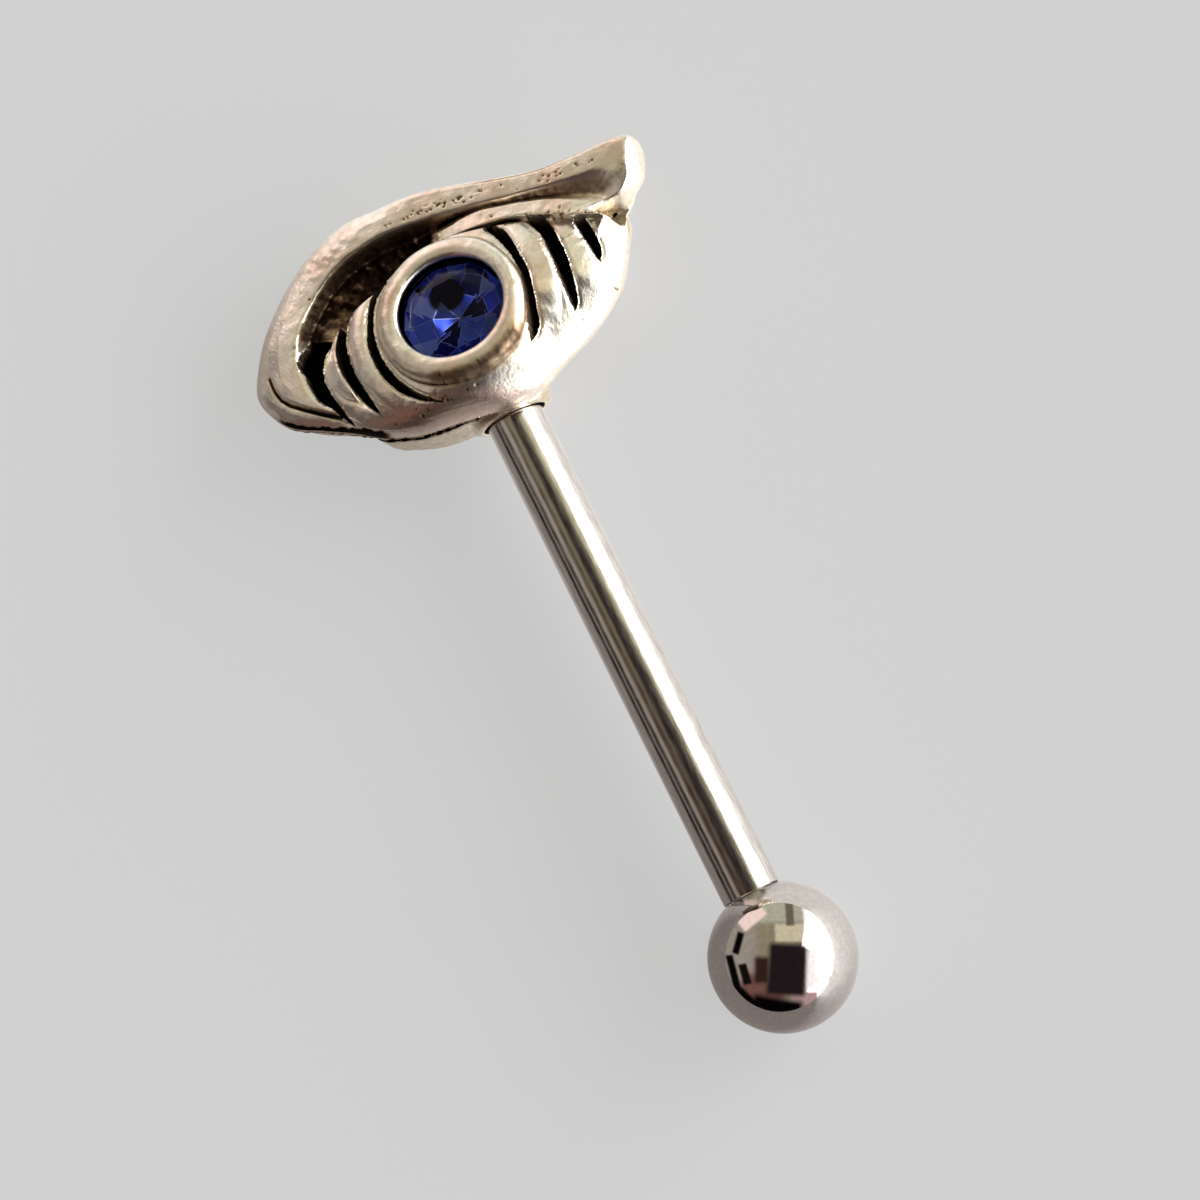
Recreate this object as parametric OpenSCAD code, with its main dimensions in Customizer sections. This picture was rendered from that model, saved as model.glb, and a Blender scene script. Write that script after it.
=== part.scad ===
// Straight eyebrow barbell with a cast silver eye at one end and a screw-on ball at the other.
// It lies as it would by itself: the back of the head and the underside of the ball touch z = 0,
// and the bar runs level along Y with the ball at its -Y end.

/* [Bar] */
// Diameter of the straight bar, 16 gauge
bar_d = 1.2; // [1.1:0.05:1.25]
// Length of bar that shows between the head and the ball
bar_show = 10.75; // [6:0.25:16]
// Depth of the bar in the head's socket
bar_seat = 1.3; // [1.0:0.1:1.6]
// Diameter of the bar's end that is turned down to fit the head's socket
tenon_d = 0.88; // [0.8:0.02:0.88]
// Diameter of the plain stud that stands for the hidden thread, at the thread's root
stud_d = 0.88; // [0.8:0.02:0.88]
// Length of that stud in the ball
stud_len = 2.0; // [1.5:0.1:2.2]

/* [Ball] */
// Diameter of the screw-on ball
ball_d = 3.0; // [2.8:0.1:3.4]

/* [Stone] */
// Diameter of the stone at its girdle
stone_d = 2.3; // [2.2:0.02:2.34]
// Diameter of the stone's flat table
table_d = 1.24; // [1.1:0.02:1.4]
// Number of main facets round the table
stone_facets = 8; // [8:1:12]

/* [Head] */
// Angle between the eye's face and the bar
dip = 20; // [16:1:24]
// Height of the middle of the stone's opening above the surface
face_z = 2.9; // [2.8:0.05:3.1]
// Diameter of the opening in the ring round the stone
opening_d = 2.24; // [2.2:0.01:2.28]
// Outer diameter of the ring round the stone
bezel_d = 3.24; // [3.1:0.02:3.3]
// How far the ribs stand above the domed eye
rib_rise = 0.07; // [0.04:0.01:0.1]
// Wall of the collar round the mouth of the bar's socket
collar_wall = 0.14; // [0.1:0.02:0.18]

/* [Fits] */
// Gap between the bar and the head's socket, on the radius
socket_gap = 0.04; // [0.02:0.01:0.06]
// Gap between the stud and the ball's bore, on the radius
bore_gap = 0.03; // [0.02:0.01:0.05]
// Gap between the bar's shoulder and the ball
shoulder_gap = 0.02; // [0.01:0.01:0.05]

/* [Hidden] */

// Where things lie along the bar. The stone is over face_y, so the origin is near the middle.
face_y = 6.4;
mouth_y = face_y - 2.35;
shoulder_y = mouth_y - bar_show;
bar_z = ball_d / 2;
seat_drop = sqrt(pow(ball_d / 2, 2) - pow(bar_d / 2, 2)) - 0.02;
ball_y = shoulder_y - shoulder_gap - seat_drop;

// Outline of the cast eye at its widest, seen square on from the stone's centre.
// Columns: angle from +X in degrees, radius, height against the stone's opening.
girth = [
    [0, 3.64, -1.10], [6, 3.88, -1.05], [8.5, 3.97, -0.92], [10, 4.24, -0.72],
    [12, 4.60, -0.66], [15, 4.84, -0.62], [20, 5.07, -0.60], [22.5, 4.84, -0.60],
    [27, 4.32, -0.68], [35, 3.68, -0.80], [45, 3.33, -0.90], [57, 3.16, -0.98],
    [72, 3.11, -1.02], [87, 3.22, -1.05], [99, 3.42, -1.05], [108, 3.65, -1.05],
    [118, 3.91, -1.05], [130, 4.13, -1.08], [145, 4.34, -1.10], [158, 4.56, -1.10],
    [168, 4.65, -1.10], [175, 4.42, -1.10], [181, 4.12, -1.10], [188, 3.56, -1.10],
    [197, 3.10, -1.08], [210, 2.76, -1.08], [225, 2.41, -1.10], [240, 2.12, -1.10],
    [255, 2.02, -1.10], [275, 2.08, -1.10], [295, 2.17, -1.10], [315, 2.34, -1.10],
    [335, 2.86, -1.10], [350, 3.36, -1.10]
];

// Sections of the upper lid, from the eye outwards.
// Columns: angle, then radius and height of the eye's edge, of the floor or fold beside it,
// of the hollow under the lid, of the lid's inner edge and of its outer edge.
lid = [
    [8, 3.52, -0.78, 3.70, -0.46, 3.74, -0.46, 3.78, -0.46, 3.82, -0.50],
    [12, 3.24, -0.72, 3.52, -0.36, 3.84, -0.44, 4.16, -0.32, 4.42, -0.28],
    [16, 2.98, -0.68, 3.42, -0.35, 3.70, -0.45, 4.20, -0.20, 4.70, -0.16],
    [20, 2.80, -0.64, 3.28, -0.34, 3.48, -0.45, 3.98, -0.18, 4.96, -0.12],
    [28, 2.55, -0.58, 2.99, -0.34, 3.11, -0.42, 3.32, -0.19, 4.14, -0.15],
    [36, 2.36, -0.54, 2.73, -0.34, 2.82, -0.40, 2.94, -0.22, 3.52, -0.18],
    [46, 2.14, -0.50, 2.49, -0.34, 2.56, -0.39, 2.64, -0.25, 3.18, -0.21],
    [60, 1.89, -0.46, 2.29, -0.37, 2.37, -0.42, 2.44, -0.28, 3.00, -0.25],
    [74, 1.80, -0.47, 2.10, -0.46, 2.30, -0.54, 2.38, -0.32, 3.01, -0.28],
    [86, 1.76, -0.50, 1.93, -0.80, 2.34, -0.80, 2.42, -0.34, 3.11, -0.31],
    [100, 1.74, -0.50, 1.88, -1.05, 2.52, -0.90, 2.60, -0.38, 3.30, -0.36],
    [115, 1.76, -0.50, 1.92, -1.05, 2.79, -0.90, 2.88, -0.43, 3.73, -0.45],
    [130, 1.86, -0.50, 2.04, -1.05, 3.07, -0.90, 3.18, -0.52, 4.00, -0.57],
    [145, 2.32, -0.50, 2.48, -1.02, 3.28, -0.92, 3.41, -0.60, 4.22, -0.64],
    [156, 2.68, -0.58, 2.82, -0.98, 3.44, -0.94, 3.54, -0.63, 4.36, -0.67],
    [162, 2.80, -0.62, 2.93, -0.72, 3.45, -0.76, 3.55, -0.66, 4.36, -0.69],
    [170, 2.86, -0.64, 3.00, -0.66, 3.36, -0.68, 3.50, -0.68, 4.26, -0.71],
    [178, 2.92, -0.66, 3.04, -0.67, 3.30, -0.70, 3.42, -0.70, 3.80, -0.72],
    [188, 2.80, -0.68, 2.88, -0.70, 3.00, -0.74, 3.10, -0.76, 3.26, -0.80],
    [198, 2.50, -0.66, 2.62, -0.70, 2.74, -0.78, 2.84, -0.84, 2.95, -0.92]
];

// Open slots between the ribs, each a crescent between two arcs with the same ends.
// Columns: x and y of the upper end, x and y of the lower end, bow of the near arc,
// bow of the far arc, height of the slot's floor. A bow to -X is negative.
slots = [
    [-1.00, 1.50, -0.90, -1.66, -0.78, -0.93, -1.00],
    [-2.08, 1.60, -2.22, -1.17, -0.20, -0.45, -1.20],
    [-2.75, 1.75, -2.87, -0.86, -0.22, -0.60, -1.10],
    [1.25, 1.80, 1.05, -1.52, 0.40, 0.62, -1.20],
    [2.05, 1.75, 2.15, -1.07, 0.13, 0.40, -1.20],
    [2.92, 1.15, 3.04, -0.36, -0.02, 0.19, -1.05]
];

// Raised ribs between the slots.
// Columns: x and y of the upper end, x and y of the lower end, bow, half width.
ribs = [
    [-1.62, 1.38, -1.72, -1.28, -0.45, 0.17],
    [-2.46, 0.92, -2.60, -0.92, -0.28, 0.17],
    [1.72, 1.30, 1.68, -1.15, 0.27, 0.18],
    [2.56, 0.92, 2.66, -0.78, 0.16, 0.19],
    [3.46, 0.30, 3.36, -0.38, 0.06, 0.14]
];

// The notch between the pointed tail and the rim on the right, as corners, and its floor.
notch = [
    [3.28, 0.76], [3.66, 0.78], [4.00, 0.75], [4.40, 0.84], [4.80, 0.60], [4.40, -0.10], [3.82, -0.02],
    [3.76, 0.16], [3.66, 0.31], [3.54, 0.47], [3.40, 0.61]
];
notch_w = -0.96;

bezel_r = bezel_d / 2;
slope = 0.22;      // fall of the domed eye away from the ring, per mm
top_w = -0.22;     // height of the eye where the ring stands on it
ledge_y = 1.30;    // where the hollow under the lid steps down into the last slot
rib_steps = 6;
rib_fade = 0.12;   // how far a rib's ends sink below its middle
end_gap = 0.04;    // clearance past the bar's end and past its step
lip_seat = 0.04;   // how far the bar's full diameter goes into the collar's mouth
base_in = 0.35;    // how far the back draws in towards the surface it lies on
tail_in = 0.45;    // how far the tail stands past the back
corner_in = 0.20;  // how far the lower corners do
// Rows of the back below the seam: share of base_in, lean of the tail's side in mm, share of height.
base_rows = [[0, 0.20, 0.45], [0.5, 0.36, 0.12], [1, 0.42, 0]];
seam_w = [-1.32, -1.37, -1.42];                // heights of the fine seam under the casting

// Stations round the eye, closer together at the pointed tail.
stations = concat([for (a = [0:1.5:33]) a], [for (a = [36:4:356]) a]);

// Smooth reading of one column of a table whose first column is an angle.
function row_at(t, i) = t[(i % len(t) + len(t)) % len(t)];
function turn_at(t, i) = row_at(t, i)[0] + 360 * floor(i / len(t));
function before(t, a) = len([for (row = t) if (row[0] <= a) 1]) - 1;
function glide(v0, v1, m0, m1, s) =
    v0 * (2 * pow(s, 3) - 3 * s * s + 1) + m0 * (pow(s, 3) - 2 * s * s + s)
    + v1 * (3 * s * s - 2 * pow(s, 3)) + m1 * (pow(s, 3) - s * s);
function reading(t, col, a) = let (
    i = before(t, a),
    a0 = turn_at(t, i), a1 = turn_at(t, i + 1), step = a1 - a0,
    v0 = row_at(t, i)[col], v1 = row_at(t, i + 1)[col],
    m0 = step * (v1 - row_at(t, i - 1)[col]) / (a1 - turn_at(t, i - 1)),
    m1 = step * (row_at(t, i + 2)[col] - v0) / (turn_at(t, i + 2) - a0)
) glide(v0, v1, m0, m1, (a - a0) / step);
function ramp(a, from, to) = let (s = min(1, max(0, (a - from) / (to - from)))) s * s * (3 - 2 * s);
function mix(p, q, s) = p * (1 - s) + q * s;

// Height of the domed eye and lower lid at a radius and an angle.
function dome(r, a) = let (
    rim = reading(girth, 1, a), low = reading(girth, 2, a),
    u = min(1, max(0, (r - bezel_r) / (rim - bezel_r))),
    fall = top_w - low - slope * (rim - bezel_r)
) top_w - slope * max(0, r - bezel_r) - fall * (1 - sqrt(1 - u * u));
function dome_at(p) = dome(norm(p), (atan2(p.y, p.x) + 360) % 360);

// One section of the head's front, as [radius, height] from the eye outwards.
shares = [0.42, 0.55, 0.66, 0.76, 0.84, 0.91, 0.97];
function lower_front(a) = let (rim = reading(girth, 1, a))
    [for (s = shares) let (r = mix(bezel_r, rim, s)) [r, dome(r, a)]];
function upper_front(a) = let (
    edge = [for (c = [1:2:9]) [reading(lid, c, a), reading(lid, c + 1, a)]]
) [edge[0], edge[1], edge[2], edge[3], mix(edge[3], edge[4], 0.2) + [0, 0.03],
   mix(edge[3], edge[4], 0.85) + [0, 0.02], edge[4] - [0, 0.04]];
function lidded(a) = a < 100 ? ramp(a, 3, 8) : 1 - ramp(a, 188, 204);
function front(a) = let (
    t = lidded(a),
    low = lower_front(a),
    high = t > 0 ? upper_front(min(max(a, 8), 198)) : low,
    run = [for (i = [0:len(low) - 1]) mix(low[i], high[i], t)],
    foot = run[0].x
) concat(
    [[1.0, -0.45], [bezel_r - 0.05, top_w]],
    [for (s = [0.4, 0.75]) let (r = mix(bezel_r, foot, s)) [r, dome(r, a)]],
    run,
    [[reading(girth, 1, a), reading(girth, 2, a)]]
);

// The back: a fine seam under the casting, then a plain base that draws in to the surface.
function proud(a) = 0.05 * ramp(a, 196, 208) * (1 - ramp(a, 232, 250)) - 0.10;
function to_row(p) = [
    p.x,
    face_y + p.y * cos(dip) + p.z * sin(dip),
    face_z - p.y * sin(dip) + p.z * cos(dip)
];
function at(a, r, w) = to_row([r * cos(a), r * sin(a), w]);
function lean(a) = a < 180 ? 1 - ramp(a, 40, 100) : ramp(a, 255, 295);

// The pointed tail is a thin fin that stands past the back, and so do the lower corners, by less.
function tail(a) = ramp(a, 6, 11) * (1 - ramp(a, 24, 36));
function corner(a) =
    ramp(a, 172, 184) * (1 - ramp(a, 194, 205)) + 0.8 * ramp(a, 284, 300) * (1 - ramp(a, 335, 352));
function past_back(a) = tail_in * tail(a) + corner_in * corner(a);
function seam_lift(a) = 0.50 * tail(a) + 0.12 * ramp(a, 200, 214) * (1 - ramp(a, 262, 280));
function section(a) = let (
    rim = reading(girth, 1, a),
    skin = [for (p = front(a)) at(a, p.x, p.y)],
    lift = seam_lift(a),
    groove = [at(a, rim - 0.03, seam_w[0] + lift), at(a, rim - 0.16 - past_back(a), seam_w[1] + lift)],
    top = at(a, rim + proud(a) - past_back(a), seam_w[2] + lift),
    inward = -[top.x, top.y - face_y] / norm([top.x, top.y - face_y]),
    base = [for (row = base_rows) let (drawn = base_in * row[0] + lean(a) * row[1])
        [top.x + inward.x * drawn, top.y + inward.y * drawn, top.z * row[2]]]
) concat(skin, groove, [top], base);

// A closed solid through sections that stand round a middle line.
module turned(sections, start, end) {
    n = len(sections);
    m = len(sections[0]);
    polyhedron(
        points = concat([for (s = sections) each s], [start, end]),
        faces = concat(
            [for (i = [0:n - 1], k = [0:m - 2]) let (j = (i + 1) % n)
                each [[i * m + k, j * m + k + 1, i * m + k + 1], [i * m + k, j * m + k, j * m + k + 1]]],
            [for (i = [0:n - 1]) let (j = (i + 1) % n) [n * m, j * m, i * m]],
            [for (i = [0:n - 1]) let (j = (i + 1) % n) [n * m + 1, i * m + m - 1, j * m + m - 1]]
        )
    );
}

// Puts what is drawn round the stone's centre, face up, in its place.
module on_face() translate([0, face_y, face_z]) rotate([-dip, 0, 0]) children();

// A point on an arc between two ends, with its bow to +X.
function bowed(top, low, bow, s) = let (
    along = top - low, side = [along.y, -along.x] / norm(along)
) mix(low, top, s) + side * bow * 4 * s * (1 - s);

module slot(row) {
    top = [row[0], row[1]];
    low = [row[2], row[3]];
    steps = 14;
    near = [for (i = [0:steps]) bowed(top, low, row[4], i / steps)];
    far = [for (i = [steps - 1:-1:1]) bowed(top, low, row[5], i / steps)];
    translate([0, 0, row[6]]) linear_extrude(2) polygon(concat(near, far));
}

module rib(row) {
    top = [row[0], row[1]];
    low = [row[2], row[3]];
    for (i = [0:rib_steps - 1]) hull() for (s = [i / rib_steps, (i + 1) / rib_steps]) {
        p = bowed(top, low, row[4], s);
        half = row[5] * (1 - 0.5 * pow(2 * s - 1, 2));
        crest = dome_at(p) + rib_rise - rib_fade * pow(2 * s - 1, 4);
        translate([p.x, p.y, crest - half]) sphere(half, $fn = 10);
    }
}

// The ring round the stone, rounded on top.
module bezel() rotate_extrude($fn = 56) polygon([
    [0.9, -0.6], [0.9, 0.02], [opening_d / 2 + 0.06, 0.05], [opening_d / 2 + 0.16, 0.07],
    [opening_d / 2 + 0.27, 0.06], [bezel_r - 0.11, 0.01], [bezel_r - 0.02, -0.10],
    [bezel_r + 0.03, -0.24], [bezel_r + 0.03, -0.6]
]);

// The room for the stone: a mouth, a lip that turns in over the girdle, and a cone below.
module seat() rotate_extrude($fn = 56) polygon([
    [0, 0.3], [opening_d / 2 + 0.08, 0.3], [opening_d / 2 + 0.03, 0.02], [opening_d / 2, -0.05],
    [opening_d / 2 + 0.08, -0.13], [opening_d / 2 + 0.08, -0.32], [0.2, -1.14], [0, -1.14]
]);

module along_bar(y, length, r, sides = 48)
    translate([0, y, bar_z]) rotate([90, 0, 0]) cylinder(h = length, r = r, $fn = sides);

module eye_head() color([0.80, 0.77, 0.70]) difference() {
    union() {
        difference() {
            turned([for (a = stations) section(a)], to_row([0, 0, -0.45]), [0, face_y - 0.2, 0]);
            on_face() intersection() {
                for (row = slots) slot(row);
                translate([0, 0, -2]) linear_extrude(3)
                    polygon([[-3.9, ledge_y + 0.3], [-2.5, ledge_y - 0.15], [-1.5, 1.4], [-1.0, 1.75],
                        [1.5, 1.6], [2.4, 1.12], [3.4, 0.6], [3.6, -2], [-3.9, -2]]);
            }
            on_face() translate([0, 0, notch_w]) linear_extrude(2) polygon(notch);
        }
        on_face() {
            bezel();
            for (row = ribs) rib(row);
        }
        along_bar(face_y - 1.4, face_y - 1.4 - mouth_y, bar_d / 2 + socket_gap + collar_wall, 32);
    }
    on_face() seat();
    along_bar(mouth_y + bar_seat + end_gap, bar_seat + 1, tenon_d / 2 + socket_gap, 32);
    along_bar(mouth_y + lip_seat + end_gap, lip_seat + 1, bar_d / 2 + socket_gap, 32);
}

// Corner points of one ring of facets.
function ring(n, r, w, turn) = [for (i = [0:n - 1]) let (a = 360 * (i + turn) / n) [r * cos(a), r * sin(a), w]];

module stone() color([0.10, 0.16, 0.62]) on_face() hull() polyhedron(
    points = concat(
        ring(stone_facets, table_d / 2, 0.02, 0.5),
        ring(stone_facets, stone_d * 0.395, -0.07, 0),
        ring(2 * stone_facets, stone_d / 2, -0.22, 0.5),
        ring(2 * stone_facets, stone_d / 2, -0.28, 0.5),
        ring(stone_facets, stone_d * 0.22, -0.82, 0.5),
        [[0, 0, -1.05]]
    ),
    faces = [[for (i = [0:7 * stone_facets]) i]]
);

module bar() color([0.62, 0.61, 0.60]) union() {
    along_bar(mouth_y + bar_seat, bar_seat, tenon_d / 2, 64);
    along_bar(mouth_y + lip_seat, lip_seat + bar_show, bar_d / 2, 64);
    along_bar(shoulder_y, stud_len, stud_d / 2, 64);
}

module ball() color([0.60, 0.59, 0.58]) difference() {
    translate([0, ball_y, bar_z]) sphere(d = ball_d, $fn = 96);
    along_bar(shoulder_y + 1, stud_len + 1.1, stud_d / 2 + bore_gap, 64);
    along_bar(shoulder_y + 1, 1 + shoulder_gap, bar_d / 2 + 0.1, 64);
}

eye_head();
stone();
bar();
ball();
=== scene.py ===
# Looks of a straight eyebrow barbell: cast silver eye, blue stone, steel bar and screw-on ball.
import math
import bpy
import numpy as np
from mathutils import Matrix, Vector


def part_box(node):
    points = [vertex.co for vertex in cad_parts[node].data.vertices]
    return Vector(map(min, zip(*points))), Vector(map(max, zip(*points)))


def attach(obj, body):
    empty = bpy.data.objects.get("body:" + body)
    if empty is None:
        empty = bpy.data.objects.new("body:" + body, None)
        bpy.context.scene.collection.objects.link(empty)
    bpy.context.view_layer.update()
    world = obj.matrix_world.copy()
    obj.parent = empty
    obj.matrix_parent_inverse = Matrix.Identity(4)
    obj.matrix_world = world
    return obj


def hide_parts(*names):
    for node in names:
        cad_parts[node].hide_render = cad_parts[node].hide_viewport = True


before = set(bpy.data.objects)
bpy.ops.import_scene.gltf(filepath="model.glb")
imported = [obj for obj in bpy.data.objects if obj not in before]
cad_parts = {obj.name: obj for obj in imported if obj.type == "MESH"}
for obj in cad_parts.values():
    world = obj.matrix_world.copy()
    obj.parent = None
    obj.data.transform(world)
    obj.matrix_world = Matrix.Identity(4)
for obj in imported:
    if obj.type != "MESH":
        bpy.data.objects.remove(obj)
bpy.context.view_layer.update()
mm = 0.001
scene = bpy.context.scene
headBody = "head_and_bar"
ballBody = "ball"

barLow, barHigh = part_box("bar")
axisZ = (barLow.z + barHigh.z) / 2 / mm  # height of the bar's axis, mm
barRadius = (barHigh.x - barLow.x) / 2 / mm


# Small helpers

def linear(hexColour):
    value = hexColour.lstrip("#")
    channels = [int(value[i:i + 2], 16) / 255 for i in (0, 2, 4)]
    return [c / 12.92 if c <= 0.04045 else ((c + 0.055) / 1.055) ** 2.4 for c in channels] + [1.0]


def brightened(hexColour, strength):
    return [channel * strength for channel in linear(hexColour)[:3]] + [1.0]


def setInput(socket, value):
    # a plain value is set, a socket is linked, and a node stands for its first output in use
    if isinstance(value, bpy.types.Node):
        value = next(output for output in value.outputs if output.enabled)
    if isinstance(value, bpy.types.NodeSocket):
        socket.id_data.links.new(value, socket)
    else:
        socket.default_value = value


def addNode(tree, kind, inputs=None, **settings):
    node = tree.nodes.new(kind)
    for name, value in settings.items():
        setattr(node, name, value)
    for key, value in (inputs or {}).items():
        setInput(node.inputs[key], value)
    return node


def startMaterial(name, values):
    material = bpy.data.materials.new(name)
    material.use_nodes = True
    tree = material.node_tree
    shader = tree.nodes["Principled BSDF"]
    for key, value in values.items():
        shader.inputs[key].default_value = value
    place = addNode(tree, "ShaderNodeTexCoord").outputs["Object"]
    return material, tree, shader, place


def setStops(ramp, stops):
    elements = ramp.color_ramp.elements
    while len(elements) < len(stops):
        elements.new(0.5)
    for element, (place, colour) in zip(elements, stops):
        element.position = place
        element.color = linear(colour)


def grainNoise(tree, source, grainMm, detail=3.0, stretch=(1, 1, 1)):
    scaled = addNode(tree, "ShaderNodeMapping", {"Scale": stretch, "Vector": source})
    scale = 1 / (grainMm * mm)
    return addNode(tree, "ShaderNodeTexNoise", {"Scale": scale, "Detail": detail, "Vector": scaled})


def setRoughness(tree, shader, source, low, high):
    rough = addNode(tree, "ShaderNodeMapRange", {"To Min": low, "To Max": high, "Value": source})
    setInput(shader.inputs["Roughness"], rough)


def meshObject(name, points, faces):
    mesh = bpy.data.meshes.new(name)
    mesh.from_pydata(np.asarray(points, float).tolist(), [], faces)
    mesh.update()
    mesh.shade_smooth()
    thing = bpy.data.objects.new(name, mesh)
    scene.collection.objects.link(thing)
    return thing


def setPatinaAndShade(thing, values):
    # the patina, with painted shade and shadow kept in the same value
    layer = thing.data.attributes.new("patinaAndShade", "FLOAT", "POINT")
    layer.data.foreach_set("value", np.asarray(values, np.float32))


def finished(thing):
    # the object with its modifiers worked out and removed
    graph = bpy.context.evaluated_depsgraph_get()
    mesh = bpy.data.meshes.new_from_object(thing.evaluated_get(graph))
    thing.modifiers.clear()
    thing.data = mesh
    return thing


def smoothStep(value, low, high):
    s = np.clip((value - low) / (high - low), 0, 1)
    return s * s * (3 - 2 * s)


def between(value, startRise, endRise, startFall, endFall):
    # rises from 0 to 1 and falls back to 0
    return smoothStep(value, startRise, endRise) * (1 - smoothStep(value, startFall, endFall))


def softLine(distance, half):
    # 1 on a line and fading away on both sides of it
    return np.exp(-(distance / half) ** 2)


def blendTo(a, b, share):
    return a * (1 - share) + b * share


# Camera: the photograph's own angle, found from the stone's ellipse, the bar's line and the ball
cameraPlan = {
    "aim": (-0.095, -0.05, 1.5),  # mm
    "distance": 80.0,  # mm
    "toCamera": (0.1182, -0.1603, 0.9800),
    "up": (0.4596, 0.8837, 0.0892),
    "lens": 119.7,
}


def makeCamera():
    data = bpy.data.cameras.new("camera")
    data.lens = cameraPlan["lens"]
    data.sensor_width = 36
    data.clip_start, data.clip_end = 0.005, 3
    camera = bpy.data.objects.new("camera", data)
    back = Vector(cameraPlan["toCamera"]).normalized()
    side = Vector(cameraPlan["up"]).cross(back).normalized()
    turn = Matrix((side, back.cross(side), back)).transposed().to_4x4()
    place = (Vector(cameraPlan["aim"]) + back * cameraPlan["distance"]) * mm
    camera.matrix_world = Matrix.Translation(place) @ turn
    scene.collection.objects.link(camera)
    scene.camera = camera


makeCamera()
print("camera set")

# The cast eye. Radii and heights are measured from the middle of the stone, square to the eye's face.
headPlan = {
    "dip": 20.0,  # degrees between the eye's face and the bar
    "centre": (0.0, 6.4, 2.9),  # mm, middle of the stone's opening
    "spokes": 620,  # sections round the eye
    "frontRows": 104,  # rows from the ring to the outline
    "seatRows": 5,  # of the ring's rows, the ones under the stone
    "ringRadius": 1.62,
    "ringEdge": 1.635,
    "ringFoot": -0.22,
    "ringNarrow": 0.09,  # how much narrower the ring is on its right
    "slope": 0.22,  # fall of the domed eye away from the ring, per mm
    "steep": 1.0,  # the same low on the right, at most
    "foldSide": (3, 100),  # degrees between which the fold covers the slots' upper ends
    "foldLap": 0.03,  # how far inside the eye's edge it starts to
    "slotWall": 0.03,
    "slotLip": (0.09, 0.035),  # width and depth of the worn edge beside a slot
    "slotFull": 0.12,  # width at which a slot has its whole depth
    "slotShallow": 0.12,  # depth of its narrow ends
    "notchFloor": -0.94,
    "creaseLine": (0.035, 0.05, 0.9),  # half width, depth, how black
    "turnedLines": ((1.31, 0.010), (1.455, 0.024), (1.56, 0.028)),  # radius and depth
    "turnedHalf": 0.018,
    "turnedBlack": 18,  # how black, per mm of depth
    "pitSpread": 0.55,  # of a patch's reach
    "pitSize": (0.014, 0.034),
    "pitDepth": (0.012, 0.035),
    "pitBlack": 0.8,
    "seed": 7,
    "section": {  # one section of the front, out from the ring
        "eyeRows": 24,
        "noLid": (0.60, 0.66, 0.72, 0.82, 0.90, 0.96),  # where the lid's points go where there is no lid
        "band": (0.08, 0.30, 0.52, 0.56, 0.80, 0.90),  # points over the lid's band, inner edge to outer
        "flat": (0.015, 0.018, 0.018, 0.018, 0.014, -0.008),  # their rise
        "bevelled": (0.018, 0.016, 0.010, 0.000, -0.048, -0.082),  # the same where the band is bevelled
        "outside": (0.0, 0.4, 0.75, 1.0),  # points from the band to the outline
        "outsideFall": (0.0, 0.22, 0.55, 1.0),
    },
    "hollow": {  # the hollow under the lid
        "perDegree": 0.045,  # how far along the strokes' grain one degree goes, mm
        "grains": (0.11, 0.06, 0.5),  # broad strokes, fine strokes and where they are strong, mm
        "depth": 0.04,
        "dark": 0.76,  # the shade at first, and what each of the next five takes from it or adds
        "lit": 0.42,
        "wall": 0.22,
        "scratch": 0.56,
        "stroke": 0.08,
        "foot": 0.12,
        "shades": (0.30, 0.95),  # lightest and darkest
    },
    "marks": {  # dark marks on the face: painted shadow and shade, a fine line and a dark band
        "underFold": (0.03, 0.035, 0.95),  # painted shadow under the fold: how far inside the eye's edge, half width, how black
        "flute": (0.31, 0.26, 0.14, 0.06),  # painted shade in the flute: shade, how much more farther on, speckle and its grain
        "fineLine": (0.085, 0.02, 0.02, 0.45),  # how far in from the lid's rim, half width, depth, how black
        # painted shadow below the ring, where it meets the lower lid
        "shadeUnderRingRadii": (1.42, 1.50, 1.62, 1.74),
        "shadeUnderRing": 0.48,
        "shadeUnderRingSpeckle": 0.10,
    },
    "back": {  # the outer side, the seam and the plain back
        "sideRows": 12,
        "seam": -1.37,
        "tailRise": 0.50,  # how much higher the seam runs under the tail
        "leftRise": 0.12,  # the same low on the left
        "leastSide": 0.12,
        "jag": 0.07,
        "grooveIn": (0.07, 0.15, 0.17, 0.11),
        "grooveHeight": (0.025, 0.012, -0.012, -0.03),
        "backIn": 0.10,  # how far the back stands in from the outline
        "proud": 0.05,  # how much less that is low on the left
        "tailIn": 0.45,  # how far the tail stands past the back
        "cornerIn": 0.20,  # how far the lower corners do
        "shares": (0.92, 0.78, 0.64, 0.50, 0.38, 0.27, 0.18, 0.10, 0.04, 0.0),  # of the height, for each row
        "baseIn": 0.35,  # how far the back draws in towards the surface it lies on
        "roundFrom": 0.45,  # share of the height below which it does
        "leanIn": ((0, 0), (0.55, 0.20), (0.88, 0.36), (1, 0.42)),  # on the right, by share of the way down
        "middle": -0.2,  # its middle along the bar's axis, from the stone's
        "flatShares": (0.25, 0.55, 0.82),  # rows on the flat base, as shares of the way to the middle
    },
}
dipCos, dipSin = math.cos(math.radians(headPlan["dip"])), math.sin(math.radians(headPlan["dip"]))
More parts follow.
